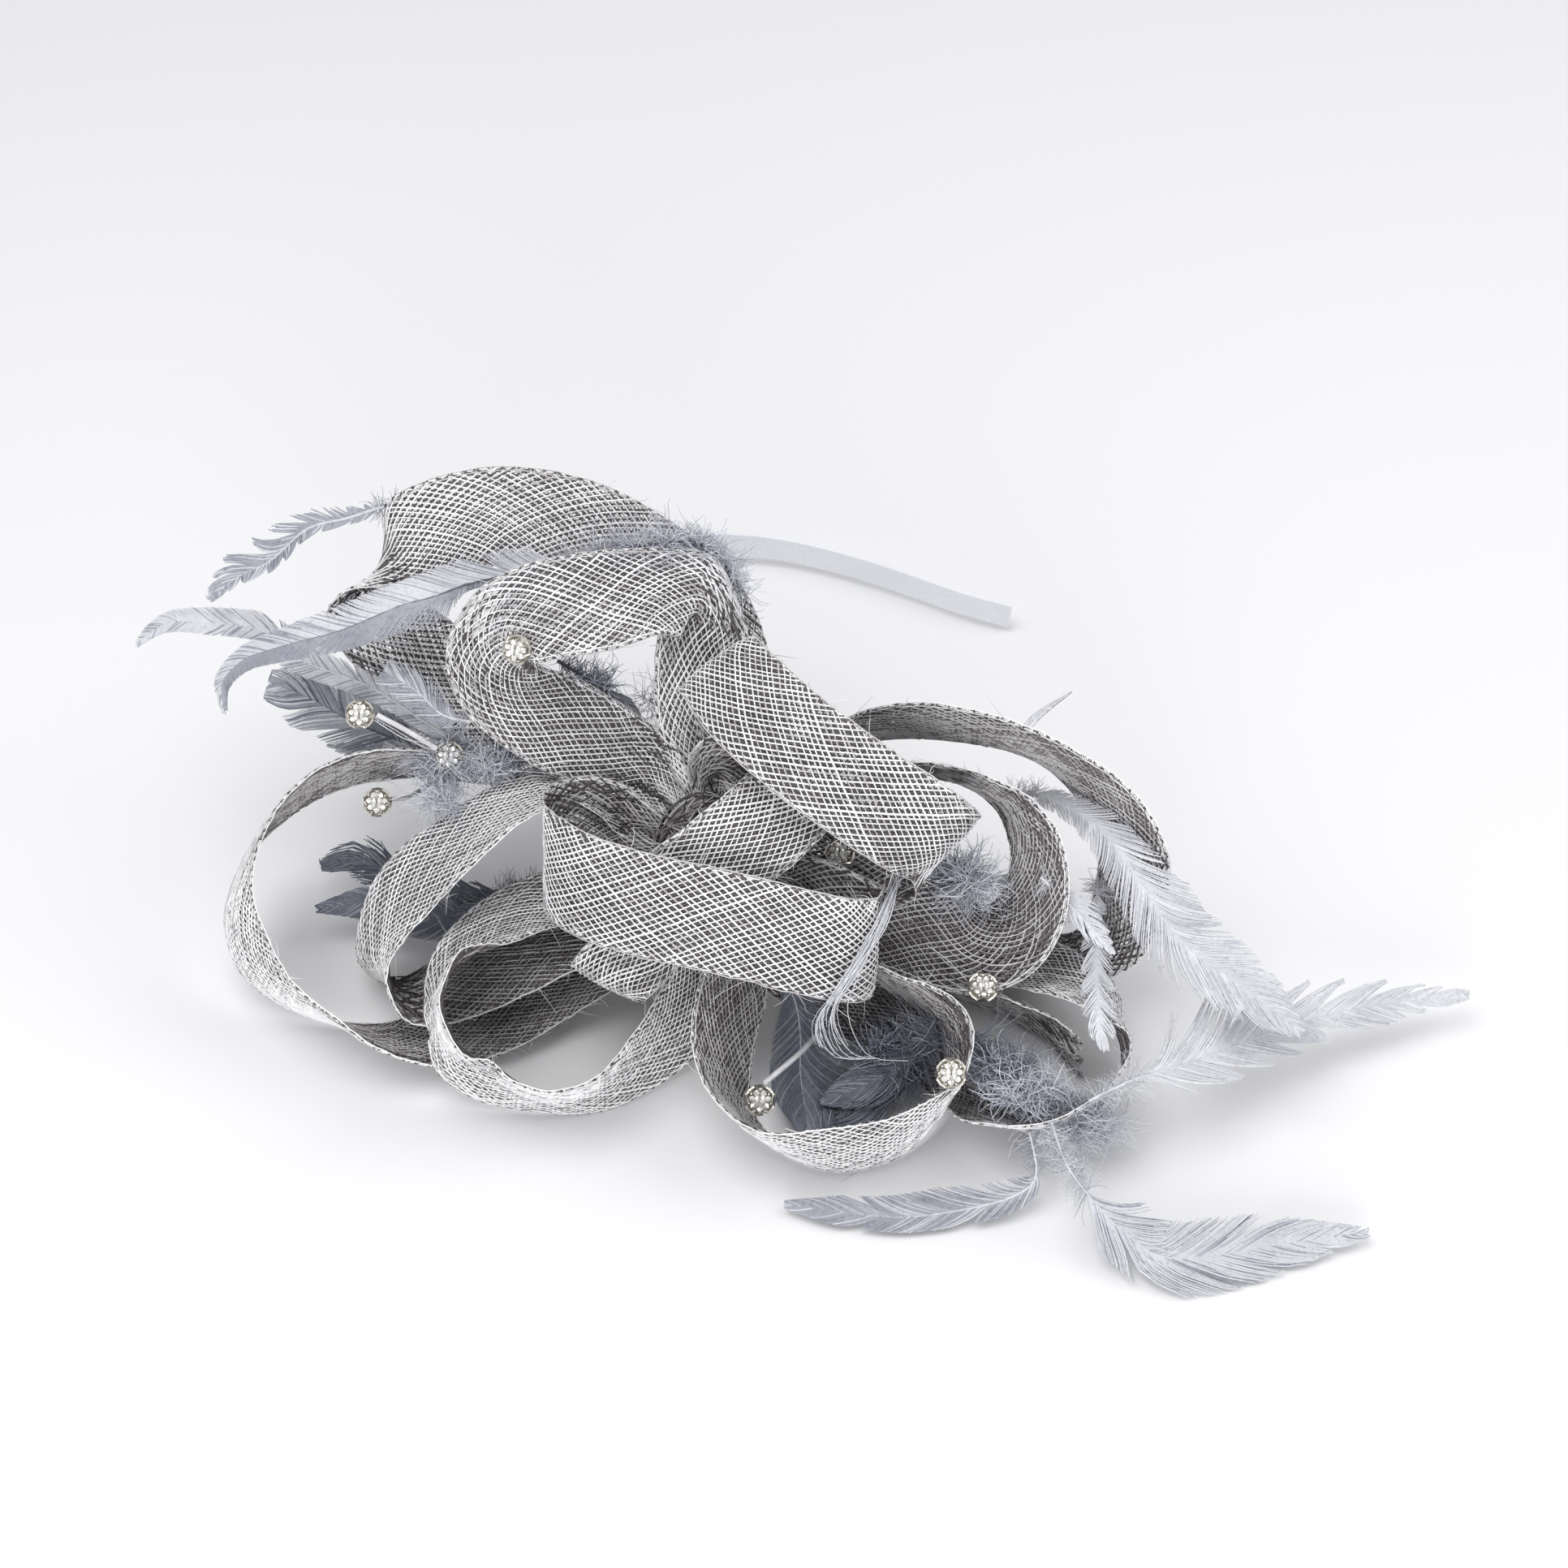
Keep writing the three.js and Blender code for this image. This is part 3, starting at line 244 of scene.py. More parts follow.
def cap_and_rings(bm):
    """The corners of one end cap in order round it, then every ring after it, as vertices.

    A corner in the walls has six edges, and the corners of a cap lack six edges in all.
    """
    missing = {v: 6 - len(v.link_edges) for v in bm.verts}
    for edge in bm.edges:
        if missing[edge.verts[0]] + missing[edge.verts[1]] < 0:
            continue
        top, under = edge.verts
        sides = []
        for face in edge.link_faces:
            third = next(v for v in face.verts if v not in edge.verts)
            options = []
            for end in (top, under):
                rim = bm.edges.get((end, third))
                beyond = next(f for f in rim.link_faces if f is not face)
                far = next(v for v in beyond.verts if v not in rim.verts)
                options.append([far, third] if end is top else [third, far])
            sides.append(options)
        for right, left in itertools.product(*sides):
            cap = [left[0], top, right[0], right[1], under, left[1]]
            if len(set(cap)) == RING_POINTS and sum(missing[v] for v in cap) == 6:
                rings = follow(cap)
                if rings:
                    return rings
    raise ValueError("no end cap found")


def follow(cap):
    """The rings from a cap to the far end, each in the order of the one before, or None if it isn't a cap."""
    rings, seen = [cap], set(cap)
    while True:
        last = rings[-1]
        beyond = {e.other_vert(v) for v in last for e in v.link_edges} - seen
        if not beyond:
            return rings if len(rings) > FEWEST_RINGS else None
        if len(beyond) != RING_POINTS:
            return None
        found = list(beyond)
        old = np.array([v.co for v in last])
        new = np.array([v.co for v in found])
        cost = np.linalg.norm((new - new.mean(0))[None] - (old - old.mean(0))[:, None], axis=2)
        for i, v in enumerate(last):
            near = {e.other_vert(v) for e in v.link_edges}
            for j, w in enumerate(found):
                if w not in near:
                    cost[i, j] += 1
        orders = np.array(list(itertools.permutations(range(RING_POINTS))))
        best = orders[cost[np.arange(RING_POINTS)[None], orders].sum(1).argmin()]
        ring = [found[j] for j in best]
        rings.append(ring)
        seen |= beyond


def rings_of(node):
    """A bent box read as rings of six points: left, middle and right of one face, then of the other."""
    bm = bmesh.new()
    bm.from_mesh(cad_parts[node].data)
    bmesh.ops.remove_doubles(bm, verts=bm.verts, dist=WELD)
    rings = cap_and_rings(bm)
    points = np.array([[tuple(v.co) for v in ring] for ring in rings])
    bm.free()
    return points


def lines_of(node, root_far=False):
    """Left edge, middle line and right edge of a strip or a feather, from the end nearest to the hub."""
    rings = rings_of(node)
    low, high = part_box("hub")
    hub = np.array((low + high) / 2)
    near = np.linalg.norm(rings[0].mean(0) - hub) < np.linalg.norm(rings[-1].mean(0) - hub)
    if near == root_far:
        rings = rings[::-1]
    left = (rings[:, 0] + rings[:, 5]) / 2
    middle = (rings[:, 1] + rings[:, 4]) / 2
    right = (rings[:, 2] + rings[:, 3]) / 2
    return np.stack([left, middle, right], axis=1)


def smooth_between(lines, steps):
    """Points of the three lines at places counted in rings, on a smooth curve through the rings."""
    count = len(lines)
    first = np.clip(np.floor(steps).astype(int), 0, count - 2)
    part = np.clip(steps - first, -0.5, 1.5)[:, None, None]
    a = lines[np.clip(first - 1, 0, count - 1)]
    b = lines[first]
    c = lines[first + 1]
    d = lines[np.clip(first + 2, 0, count - 1)]
    return 0.5 * (2 * b + (c - a) * part + (2 * a - 5 * b + 4 * c - d) * part ** 2
                  + (3 * b - a - 3 * c + d) * part ** 3)


def on_surface(lines, steps, across, lift):
    """Points on a strip: steps in rings along it, across it from -1 to 1, lifted in metres off its middle."""
    here = smooth_between(lines, steps)
    there = smooth_between(lines, steps + 0.02)
    half = (here[:, 2] - here[:, 0]) / 2
    bow = (here[:, 2] + here[:, 0]) / 2 - here[:, 1]
    v = across[:, None]
    point = here[:, 1] + half * v + bow * v ** 2
    forward = there[:, 1] - here[:, 1]
    sideways = half + 2 * bow * v
    normal = np.cross(forward, sideways)
    normal /= np.linalg.norm(normal, axis=1, keepdims=True) + 1e-12
    return point + normal * lift[:, None]


def ring_places(lines):
    """Length along the middle line at each ring, in metres."""
    steps = np.linalg.norm(np.diff(lines[:, 1], axis=0), axis=1)
    return np.concatenate([[0], np.cumsum(steps)])


# Strands

def make_profile():
    """The three-sided section that every straw strand, barb and hair has."""
    line = bpy.data.curves.new("strand_section", "CURVE")
    line.dimensions = "2D"
    spline = line.splines.new("POLY")
    spline.points.add(2)
    for k, point in enumerate(spline.points):
        angle = math.radians(90 + 120 * k)
        point.co = (math.cos(angle), math.sin(angle), 0, 1)
    spline.use_cyclic_u = True
    return add("strand_section", line)


PROFILE = make_profile()


def off_floor(points, clear):
    """The same points, none of them lower than a clear height over the floor."""
    points[:, 2] = np.maximum(points[:, 2], clear)
    return points


def strands(name, paths, materials):
    """One piece made of many strands. A path is (points, radii in metres, material number)."""
    line = bpy.data.curves.new(name + "_lines", "CURVE")
    line.dimensions = "3D"
    line.twist_mode = "MINIMUM"
    line.bevel_mode = "OBJECT"
    line.bevel_object = PROFILE
    line.use_fill_caps = True
    for material in materials:
        line.materials.append(material)
    for points, radii, number in paths:
        spline = line.splines.new("POLY")
        count = len(points)
        spline.points.add(count - 1)
        flat = np.ones((count, 4), np.float32)
        flat[:, :3] = points
        spline.points.foreach_set("co", flat.ravel())
        spline.points.foreach_set("radius", np.asarray(radii, np.float32))
        spline.material_index = number
        spline.use_smooth = True
    holder = add(name + "_lines", line)
    graph = bpy.context.evaluated_depsgraph_get()
    mesh = bpy.data.meshes.new_from_object(holder.evaluated_get(graph), depsgraph=graph)
    mesh.name = name
    piece = add(name, mesh)
    bpy.data.objects.remove(holder)
    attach(piece, "root")
    return piece


WEAVE_PITCH = 1.45 * MM
BIAS = math.radians(32)
STRAND_RADIUS = 0.235 * MM
# The radius of the dark middle strands, which are painted shade.
PAINTED_SHADE_RADIUS = STRAND_RADIUS * 1.35
STRAND_SHARES = [0.8, 0.9, 0.95, 1, 1, 1.05, 1.35]
STRIP_WIDTH = 25 * MM
STRAW_FINISHES = [STRAW_BRIGHT, STRAW_SILVER, STRAW_PAINTED_HALF_SHADE, STRAW_PAINTED_SHADE]
BRIGHT, SILVER, PAINTED_HALF_SHADE, PAINTED_SHADE = range(4)
OUTER_TONES = [BRIGHT] * 5 + [SILVER]
# The inner layer's tones are painted shade: darker than the outer layer's, and less dark in loops whose
# insides catch the light.
PAINTED_SHADE_INSIDE = [SILVER] * 3 + [PAINTED_HALF_SHADE]
PAINTED_LIGHT_INSIDE = [BRIGHT] * 2 + [SILVER]
LAYER_LIFT = 0.34 * MM
STRAND_SHAKE = 0.05 * MM
END_TAPER = 16 * MM
PLEATS = 7
PLEAT_DEPTH = 1.3 * MM
PLEAT_REACH = 24 * MM
EDGE_CORDS = 3
EDGE_STEP = 2.2 * MM
EDGE_RADIUS = 0.2 * MM
FRAYS = 60
FRAY_LENGTH = 7 * MM
FRAY_RADII = np.array([0.1, 0.09, 0.07, 0.03]) * MM
STRAW_CLEAR = 0.25 * MM
HAIR_CLEAR = 0.2 * MM
ANY_ANGLE = (0, 6.28)


def opened(lines):
    """The lines of a loop with its gathered ends let out to most of the width of the cloth."""
    places = ring_places(lines)
    from_end = np.minimum(places, places[-1] - places)
    width = np.linalg.norm(lines[:, 2] - lines[:, 0], axis=1)
    full = np.percentile(width, 60)
    wanted = full * np.clip(0.5 + 0.5 * from_end / END_TAPER, 0, 1)
    grow = (np.maximum(width, wanted) / width)[:, None]
    let_out = lines.copy()
    for side in (0, 2):
        let_out[:, side] = lines[:, 1] + (lines[:, side] - lines[:, 1]) * grow
    return let_out


def outward(lines):
    """1 where the lifted side of a strip looks away from the middle of its loop, and -1 where it looks in."""
    forward = np.gradient(lines[:, 1], axis=0)
    normal = np.cross(forward, lines[:, 2] - lines[:, 0])
    normal /= np.linalg.norm(normal, axis=1, keepdims=True)
    away = lines[:, 1] - lines[:, 1].mean(0)
    return 1 if (normal * away).sum() > 0 else -1


def weave(node, seed, loose_end, painted_inner_tones):
    """A bias strip of open straw cloth: a bright outer layer, an inner layer dimmed with painted shade, and
    dark strands of painted shade between them.

    Its edges get a few cords and loose frays, and its sewn ends are pleated.
    """
    chance = random.Random(seed)
    lines = lines_of(node) if loose_end else opened(lines_of(node))
    places = ring_places(lines)
    total = places[-1]
    numbers = np.arange(len(places))
    rows = 2 * round(STRIP_WIDTH * math.cos(BIAS) / WEAVE_PITCH)
    step = WEAVE_PITCH / (2 * math.sin(BIAS))
    # The side that looks out of the loop takes the lit tones; the side that looks in takes painted shade.
    painted_lit_side = outward(lines)
    paths = []

    def lay(first, way, height, radius, tone, stride=2, wave=0.1 * MM):
        j = np.arange(0, rows + 1, stride)
        k = first + j
        sway = chance.uniform(*ANY_ANGLE)
        along = k * step + chance.uniform(-0.16, 0.16) * step + 0.2 * step * np.sin(k * 0.13 + sway)
        inside = (along >= 0) & (along <= total)
        if inside.sum() < 2:
            return
        along, k, j = along[inside], k[inside], j[inside]
        level = way * (2 * j / rows - 1)
        from_end = np.minimum(along, total - along)
        near_end = np.clip(1 - from_end / PLEAT_REACH, 0, 1)
        pleat = PLEAT_DEPTH * np.sin(level * PLEATS + seed) * near_end * (1 - level ** 4)
        lift = height * (1 - np.abs(level) ** 8) + way * np.where(k // 2 % 2 == 0, 1, -1) * wave + pleat
        points = on_surface(lines, np.interp(along, places, numbers), level * 0.985, lift)
        points += np.array([chance.gauss(0, STRAND_SHAKE) for _ in range(points.size)]).reshape(points.shape)
        thick = radius * chance.choice(STRAND_SHARES)
        paths.append((off_floor(points, STRAW_CLEAR), np.full(len(points), thick), tone))

    last = int(total / step)
    for way in (1, -1):
        for first in range(-rows, last, 2):
            lay(first, way, painted_lit_side * LAYER_LIFT, STRAND_RADIUS, chance.choice(OUTER_TONES))
            lay(first, way, -painted_lit_side * LAYER_LIFT, STRAND_RADIUS, chance.choice(painted_inner_tones))
            # The middle strands are painted shade: dark strands that darken the cells between the two layers.
            lay(first + 1, way, 0, PAINTED_SHADE_RADIUS, PAINTED_SHADE, stride=5, wave=0)
    for side in (-1, 1):
        for cord in range(EDGE_CORDS):
            along = np.arange(0, total, EDGE_STEP)
            level = side * (1 - 0.035 * cord + np.array([chance.gauss(0, 0.008) for _ in along]))
            lift = (cord - 1) * 0.25 * MM + np.array([chance.gauss(0, 0.1 * MM) for _ in along])
            points = on_surface(lines, np.interp(along, places, numbers), level, lift)
            tone = chance.choice([BRIGHT, SILVER])
            paths.append((off_floor(points, STRAW_CLEAR), np.full(len(points), EDGE_RADIUS), tone))
    for _ in range(FRAYS):
        at = chance.uniform(0, len(places) - 1.01)
        side = chance.choice([-1, 1])
        edge = on_surface(lines, np.array([at, at + 0.05]), np.array([side, side]), np.zeros(2))
        inner = on_surface(lines, np.array([at]), np.array([side * 0.8]), np.zeros(1))[0]
        out = edge[0] - inner
        out /= np.linalg.norm(out) + 1e-9
        forward = edge[1] - edge[0]
        forward /= np.linalg.norm(forward) + 1e-9
        turn = chance.uniform(-1.3, 1.3)
        heading = out * math.cos(turn) + forward * math.sin(turn)
        length = FRAY_LENGTH * chance.uniform(0.12, 1) ** 2
        curl = np.array([chance.uniform(-1, 1) for _ in range(3)]) * 0.5
        f = np.linspace(0, 1, len(FRAY_RADII))[:, None]
        points = edge[0] + heading * length * f + curl * length * f ** 2
        paths.append((off_floor(points, HAIR_CLEAR), FRAY_RADII, chance.choice([BRIGHT, SILVER, SILVER])))
    piece = strands(node.replace("_loop", "") + "_weave", paths, STRAW_FINISHES)
    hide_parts(node)


HAIR_STEPS = 5


def wander(chance, start, heading, length, curl):
    """Points of one hair that leaves in a heading and curls as it goes."""
    turn = np.array([chance.gauss(0, 1) for _ in range(3)])
    point = np.array(start, float)
    points = [point]
    for _ in range(HAIR_STEPS):
        turn = turn * 0.7 + np.array([chance.gauss(0, 1) for _ in range(3)]) * 0.4
        heading = heading + turn * curl
        heading = heading / (np.linalg.norm(heading) + 1e-9)
        point = point + heading * length / HAIR_STEPS
        points.append(point)
    return off_floor(np.array(points), HAIR_CLEAR)


def bow_line(points, count=24):
    """A smooth line through a few points given in millimetres."""
    given = np.array(points, float) * MM
    lines = np.repeat(given[:, None], 3, axis=1)
    return smooth_between(lines, np.linspace(0, len(given) - 1.001, count))[:, 1]


QUILL_POINTS = 40
BARB_POINTS = 6
BARB_SPACING = 0.5 * MM
BARB_CLEAR = 0.15 * MM
SHORTEST_DOWN = 4 * MM
VANE_START = 0.02
VANE_END = 0.985


def vane(name, lines, seed, tones, quill, clump=(30, 90), gather=0.06, lean=1.35, ruffle=0.06,
         down_part=0.12, edge=(0.93, 1.0), far_side=None):
    """A feather: a tapered quill, curly down near its foot and a vane of close barbs with a few splits.

    Barbs lie in clumps of so many barbs, whose tips gather to a point. They lean forward by a share of their
    reach, and each clump lifts by a ruffle in millimetres. The down takes up the first part of the length.
    A barb reaches to a share of the vane's edge. The far side, if one is named, has one tone only.
    """
    chance = random.Random(seed)
    places = ring_places(lines)
    total = places[-1]
    last = len(places) - 1
    numbers = np.arange(last + 1)
    f = np.linspace(0, 1, QUILL_POINTS)
    at = np.interp(f * total, places, numbers)
    spine = on_surface(lines, at, np.zeros(QUILL_POINTS), np.zeros(QUILL_POINTS))
    paths = [(spine, (0.5 * (1 - f) ** 0.8 + 0.1) * MM, len(tones))]
    for side in (-1, 1):
        shades = [1] if far_side == side else [0, 0, 0, *range(len(tones))]
        start = VANE_START * total
        while start < VANE_END * total:
            size = chance.randint(*clump) * BARB_SPACING
            centre = start + size * chance.uniform(0.45, 0.8)
            pull = gather * chance.uniform(0.5, 1.6)
            rise = chance.gauss(0, ruffle * MM)
            root = start
            while root < min(start + size, VANE_END * total):
                here = np.interp(root, places, numbers)
                row = smooth_between(lines, np.array([here]))[0]
                reach = np.linalg.norm(row[1] - row[1 + side])
                colour = chance.choice(shades)
                if root < down_part * total:
                    outward_way = (row[1 + side] - row[1]) / (reach + 1e-9)
                    forward = smooth_between(lines, np.array([here + 0.1]))[0][1] - row[1]
                    forward /= np.linalg.norm(forward) + 1e-9
                    for _ in range(3):
                        heading = outward_way + forward * chance.uniform(0, 0.9)
                        heading[2] += chance.uniform(-0.3, 0.5)
                        length = max(reach, SHORTEST_DOWN) * chance.uniform(0.7, 1.5)
                        hair = wander(chance, row[1], heading, length, 0.35)
                        paths.append((hair, np.linspace(0.12, 0.05, len(hair)) * MM, colour))
                    root += BARB_SPACING
                    continue
                g = np.linspace(0, 1, BARB_POINTS)
                advance = lean * reach * g ** 0.9 + (centre - root) * pull * g ** 2
                to = np.clip(root + advance, 0, total)
                steps = np.interp(to, places, numbers)
                lift = rise * g ** 2 + chance.gauss(0, 0.05 * MM) * g
                points = on_surface(lines, steps, side * g * chance.uniform(*edge), lift)
                thick = (0.27 - 0.13 * g ** 2) * MM * chance.uniform(0.85, 1.1)
                paths.append((off_floor(points, BARB_CLEAR), thick, colour))
                root += BARB_SPACING * chance.uniform(0.85, 1.15)
            start += size
    return strands(name, paths, [*tones, quill])


def feather(node, seed, tones, quill, root_far=False, **vane_values):
    """The quill and barbs of a CAD feather, which they stand for."""
    piece = vane(node + "_barbs", lines_of(node, root_far), seed, tones, quill, **vane_values)
    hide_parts(node)


SMALL_POINTS = 16


def small_feather(name, way, half, seed, tones, quill, facing=(0, -0.7, 0.7), **vane_values):
    """A feather of its own along a way in millimetres, with a half width in millimetres."""
    spine = bow_line(way, SMALL_POINTS)
    forward = np.gradient(spine, axis=0)
    sideways = np.cross(forward, np.array(facing, float))
    sideways /= np.linalg.norm(sideways, axis=1, keepdims=True)
    f = np.linspace(0, 1, SMALL_POINTS)[:, None]
    shape = half * MM * np.clip(np.minimum(0.45 + 3 * f, 1.9 * (1 - f) ** 0.9), 0.06, 1)
    lines = np.stack([spine - sideways * shape, spine, spine + sideways * shape], axis=1)
    vane(name, lines, seed, tones, quill, **vane_values)


DOWN_CLEAR = 0.4 * MM


def fluff(name, masses, seed):
    """Masses of fine curly down.

    A mass is (heart, size, count, tones, hair length, curl, thickness), with its measures in millimetres.
    """
    chance = random.Random(seed)
    tones = list(dict.fromkeys(shade for _, _, _, shades, _, _, _ in masses for shade in shades))
    paths = []
    for heart, size, count, shades, length, curl, thick in masses:
        spread = np.array(size) * MM
        for _ in range(count):
            away = np.array([chance.gauss(0, 1) for _ in range(3)])
            away /= np.linalg.norm(away) + 1e-9
            start = np.array(heart) * MM + away * spread * chance.uniform(0, 1) ** 0.6
            start[2] = max(start[2], DOWN_CLEAR)
            hair = wander(chance, start, away, length * MM * chance.uniform(0.35, 1), curl)
            radii = np.linspace(1.2, 0.5, len(hair)) * thick * MM
            paths.append((hair, radii, tones.index(chance.choice(shades))))
    strands(name, paths, tones)


WRAP_TURNS = 150
WRAP_POINTS = 16
WRAP_RADIUS = 0.26 * MM


def hub_wrap():
    """Gathered straw wound round the hub, where the ends of all loops are sewn down."""
    chance = random.Random(400)
    low, high = (np.array(corner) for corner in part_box("hub"))
    middle, half = (low + high) / 2, (high - low) / 2
    paths = []
    for _ in range(WRAP_TURNS):
        tilt = math.acos(chance.uniform(-1, 1))
        turn = chance.uniform(0, math.tau)
        angle = np.linspace(0, chance.uniform(2, 4), WRAP_POINTS) + chance.uniform(*ANY_ANGLE)
        circle = np.stack([np.cos(angle), np.sin(angle) * math.cos(tilt), np.sin(angle) * math.sin(tilt)], 1)
        swing = np.array([[math.cos(turn), math.sin(turn), 0],
                          [-math.sin(turn), math.cos(turn), 0],
                          [0, 0, 1]])
        points = middle + circle @ swing * (half + chance.uniform(0.3, 2.2) * MM)
        # Most turns take the dim and dark straw tones: painted shade under the loops.
        paths.append((points, np.full(WRAP_POINTS, WRAP_RADIUS), chance.choice([0, 1, 1, 2])))
    strands("hub_wrap", paths, [STRAW_SILVER, STRAW_PAINTED_HALF_SHADE, STRAW_PAINTED_SHADE])


TUFT_STRANDS = 26


def curled_tuft():
    """A tuft of pale strands that hangs from the hub in a curl over the front loop."""
    chance = random.Random(600)
    paths = []
    for _ in range(TUFT_STRANDS):
        shake = np.array([[chance.gauss(0, 0.6) for _ in range(3)] for _ in range(6)])
        fan = chance.uniform(-1, 1)
        way = [(25, -44, 48), (21, -60, 50), (14 + fan, -73, 46), (8 + 4 * fan, -80, 38 + 2 * fan),
               (12 + 6 * fan, -85, 29), (21 + 6 * fan, -84, 26 - 2 * fan)]
        line = bow_line(np.array(way) + shake * [1, 0.6, 1])
        line = line[:chance.randint(15, 24)]
        paths.append((line, np.linspace(0.24, 0.07, len(line)) * MM, chance.choice([0, 0, 1])))
    strands("curled_tuft", paths, [VANE_WHITE, VANE_PALE])


THREAD_RADIUS = 0.16 * MM
THREAD_WAYS = [
    [(-108.5, 0.2, 61.5), (-102, -1, 57), (-97, -2.5, 54), (-93, -2.4, 52)],
    [(-108.5, -0.4, 61.2), (-101, -2, 56), (-96, -1.6, 54), (-93, -2.2, 51.4)],
    [(-86.5, -2, 51), (-78, -3, 49.5), (-68, -4, 50), (-58.7, -7.2, 52)],
    [(-86.5, -2.6, 50.5), (-79, -5, 48), (-70, -6, 48), (-60, -9, 50)],
    [(-79, -1, 47), (-75, 3, 49), (-69.5, 6, 50)],
    [(-105.5, -8.5, 40), (-101, -7.5, 41), (-97, -5, 37)],
    [(33, -51, 31), (38, -55, 30), (43, -58.5, 26)],
    [(14, -35, 45.5), (17, -38, 46), (21, -41, 44)],
]


def sewing_threads():
    """The threads that show between the loops, along their ways in millimetres."""
    lines = [bow_line(way) for way in THREAD_WAYS]
    paths = [(line, np.full(len(line), THREAD_RADIUS), 0) for line in lines]
    strands("sewing_threads", paths, [THREAD])


def solid_piece(name, bm, material):
    """One piece made of a finished mesh in one material."""
    mesh = bpy.data.meshes.new(name)
    bm.to_mesh(mesh)
    bm.free()
    mesh.materials.append(material)
    return add(name, mesh)


PETALS = 7
FIRST_PETAL = 0.2
PETAL_RADIUS = 1.05 * MM
PETAL_SHIFT = Matrix.Translation(Vector((1.9 * MM, 0, 0.5 * MM)))
PETAL_LEAN = Matrix.Rotation(-0.5, 4, "Y")
PETAL_SHAPE = Matrix.Diagonal(Vector((1.15, 0.85, 0.5, 1)))
CLAW_SHIFT = Matrix.Translation(Vector((2.75 * MM, 0, 0.2 * MM)))
CLAW_FOOT = 0.42 * MM
CLAW_TIP = 0.2 * MM
CLAW_HEIGHT = 2.4 * MM
DOME_RADIUS = 1.0 * MM
DOME_ACROSS = 0.72 * MM
DOME_UP = 1.0 * MM
DOME_SHAPE = Matrix.Diagonal(Vector((0.62, 1.5, 0.8, 1)))


def rosette(stone):
    """A cut stone as a rosette: seven petals round two half domes with a slit between them, held by claws."""
    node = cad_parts[stone]
    corners = np.array([tuple(v.co) for v in node.data.vertices])
    middle = (corners.min(0) + corners.max(0)) / 2
    # A stone is thinnest along its axis. Its light side looks up and to the front.
    axis = np.linalg.svd(corners - middle)[2][2]
    if axis[2] - axis[1] < 0:
        axis = -axis
    turn = Vector(axis).to_track_quat("Z", "Y").to_matrix().to_4x4()
    place = Matrix.Translation(Vector(middle)) @ turn
    bm = bmesh.new()
    for k in range(PETALS):
        at_petal = place @ Matrix.Rotation(math.tau * k / PETALS + FIRST_PETAL, 4, "Z")
        at_claw = place @ Matrix.Rotation(math.tau * (k + 0.5) / PETALS + FIRST_PETAL, 4, "Z")
        bmesh.ops.create_icosphere(bm, subdivisions=1, radius=PETAL_RADIUS,
                                   matrix=at_petal @ PETAL_SHIFT @ PETAL_LEAN @ PETAL_SHAPE)
        bmesh.ops.create_cone(bm, cap_ends=True, segments=6, radius1=CLAW_FOOT, radius2=CLAW_TIP,
                              depth=CLAW_HEIGHT, matrix=at_claw @ CLAW_SHIFT)
    for side in (-1, 1):
        dome_shift = Matrix.Translation(Vector((side * DOME_ACROSS, 0, DOME_UP)))
        bmesh.ops.create_icosphere(bm, subdivisions=2, radius=DOME_RADIUS,
                                   matrix=place @ dome_shift @ DOME_SHAPE)
    piece = solid_piece(stone + "_rosette", bm, STONE_CHAMPAGNE_AND_PAINTED_GLINTS)
    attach(piece, "root")
    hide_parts(stone)


CRISP_EDGE = math.radians(40)


def satin_band():
    """The headband as a smooth satin-covered band: a merged copy with its long edges kept crisp."""
    bm = bmesh.new()
    bm.from_mesh(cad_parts["headband"].data)
    bmesh.ops.remove_doubles(bm, verts=bm.verts, dist=WELD)
    for face in bm.faces:
        face.smooth = True
    for edge in bm.edges:
        edge.smooth = edge.calc_face_angle(0) < CRISP_EDGE
    piece = solid_piece("satin_band", bm, SATIN)
    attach(piece, "root")
    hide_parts("headband")


# The pieces

set_camera()
set_light()
make_floor()

for seed, node in enumerate(LOOPS, start=100):
    # The insides of the upper and crown loops take lighter painted shade than the other loops' insides.
    painted_inner_tones = PAINTED_LIGHT_INSIDE if node in ("upper_loop", "crown_loop") else PAINTED_SHADE_INSIDE
    weave(node, seed, loose_end=node == "right_tail", painted_inner_tones=painted_inner_tones)

BLUES = [VANE_PALE, VANE_BLUE]
SLATES = [VANE_SLATE, VANE_BLUE]
PALES = [VANE_PALE, VANE_WHITE]
MOST_PALE = [VANE_PALE, VANE_PALE, VANE_WHITE]
MOST_SLATE = [VANE_SLATE, VANE_SLATE, VANE_BLUE]
BLUE_FIRST = [VANE_BLUE, VANE_PALE]
feather("plume_over_top", 1, BLUES, QUILL_DARK, down_part=0.34, far_side=1)
feather("plume_top_left", 2, BLUE_FIRST, QUILL_PALE, clump=(8, 16), gather=0.75, edge=(0.8, 1.05))
feather("plume_far_left", 3, BLUES, QUILL_PALE, down_part=0)
feather("plume_left_fan", 4, [VANE_BLUE, VANE_SLATE, VANE_PALE], QUILL_DARK, clump=(10, 30), gather=0.5)
feather("plume_left_brush", 5, BLUE_FIRST, QUILL_PALE, clump=(6, 14), gather=0.3, edge=(0.8, 1.1))
feather("plume_left_low", 6, SLATES, QUILL_DARK, down_part=0.3)
feather("plume_left_back", 7, SLATES, QUILL_DARK, clump=(8, 14), gather=1.3, lean=2.6, edge=(0.7, 1.2))
feather("plume_in_right_loop", 8, BLUES, QUILL_PALE, down_part=0.6)
feather("plume_over_right", 9, MOST_PALE, QUILL_PALE, clump=(20, 50), gather=0.2, edge=(0.85, 1.05))
feather("plume_hanging", 10, PALES, QUILL_PALE, clump=(8, 16), gather=0.6, edge=(0.8, 1.05))
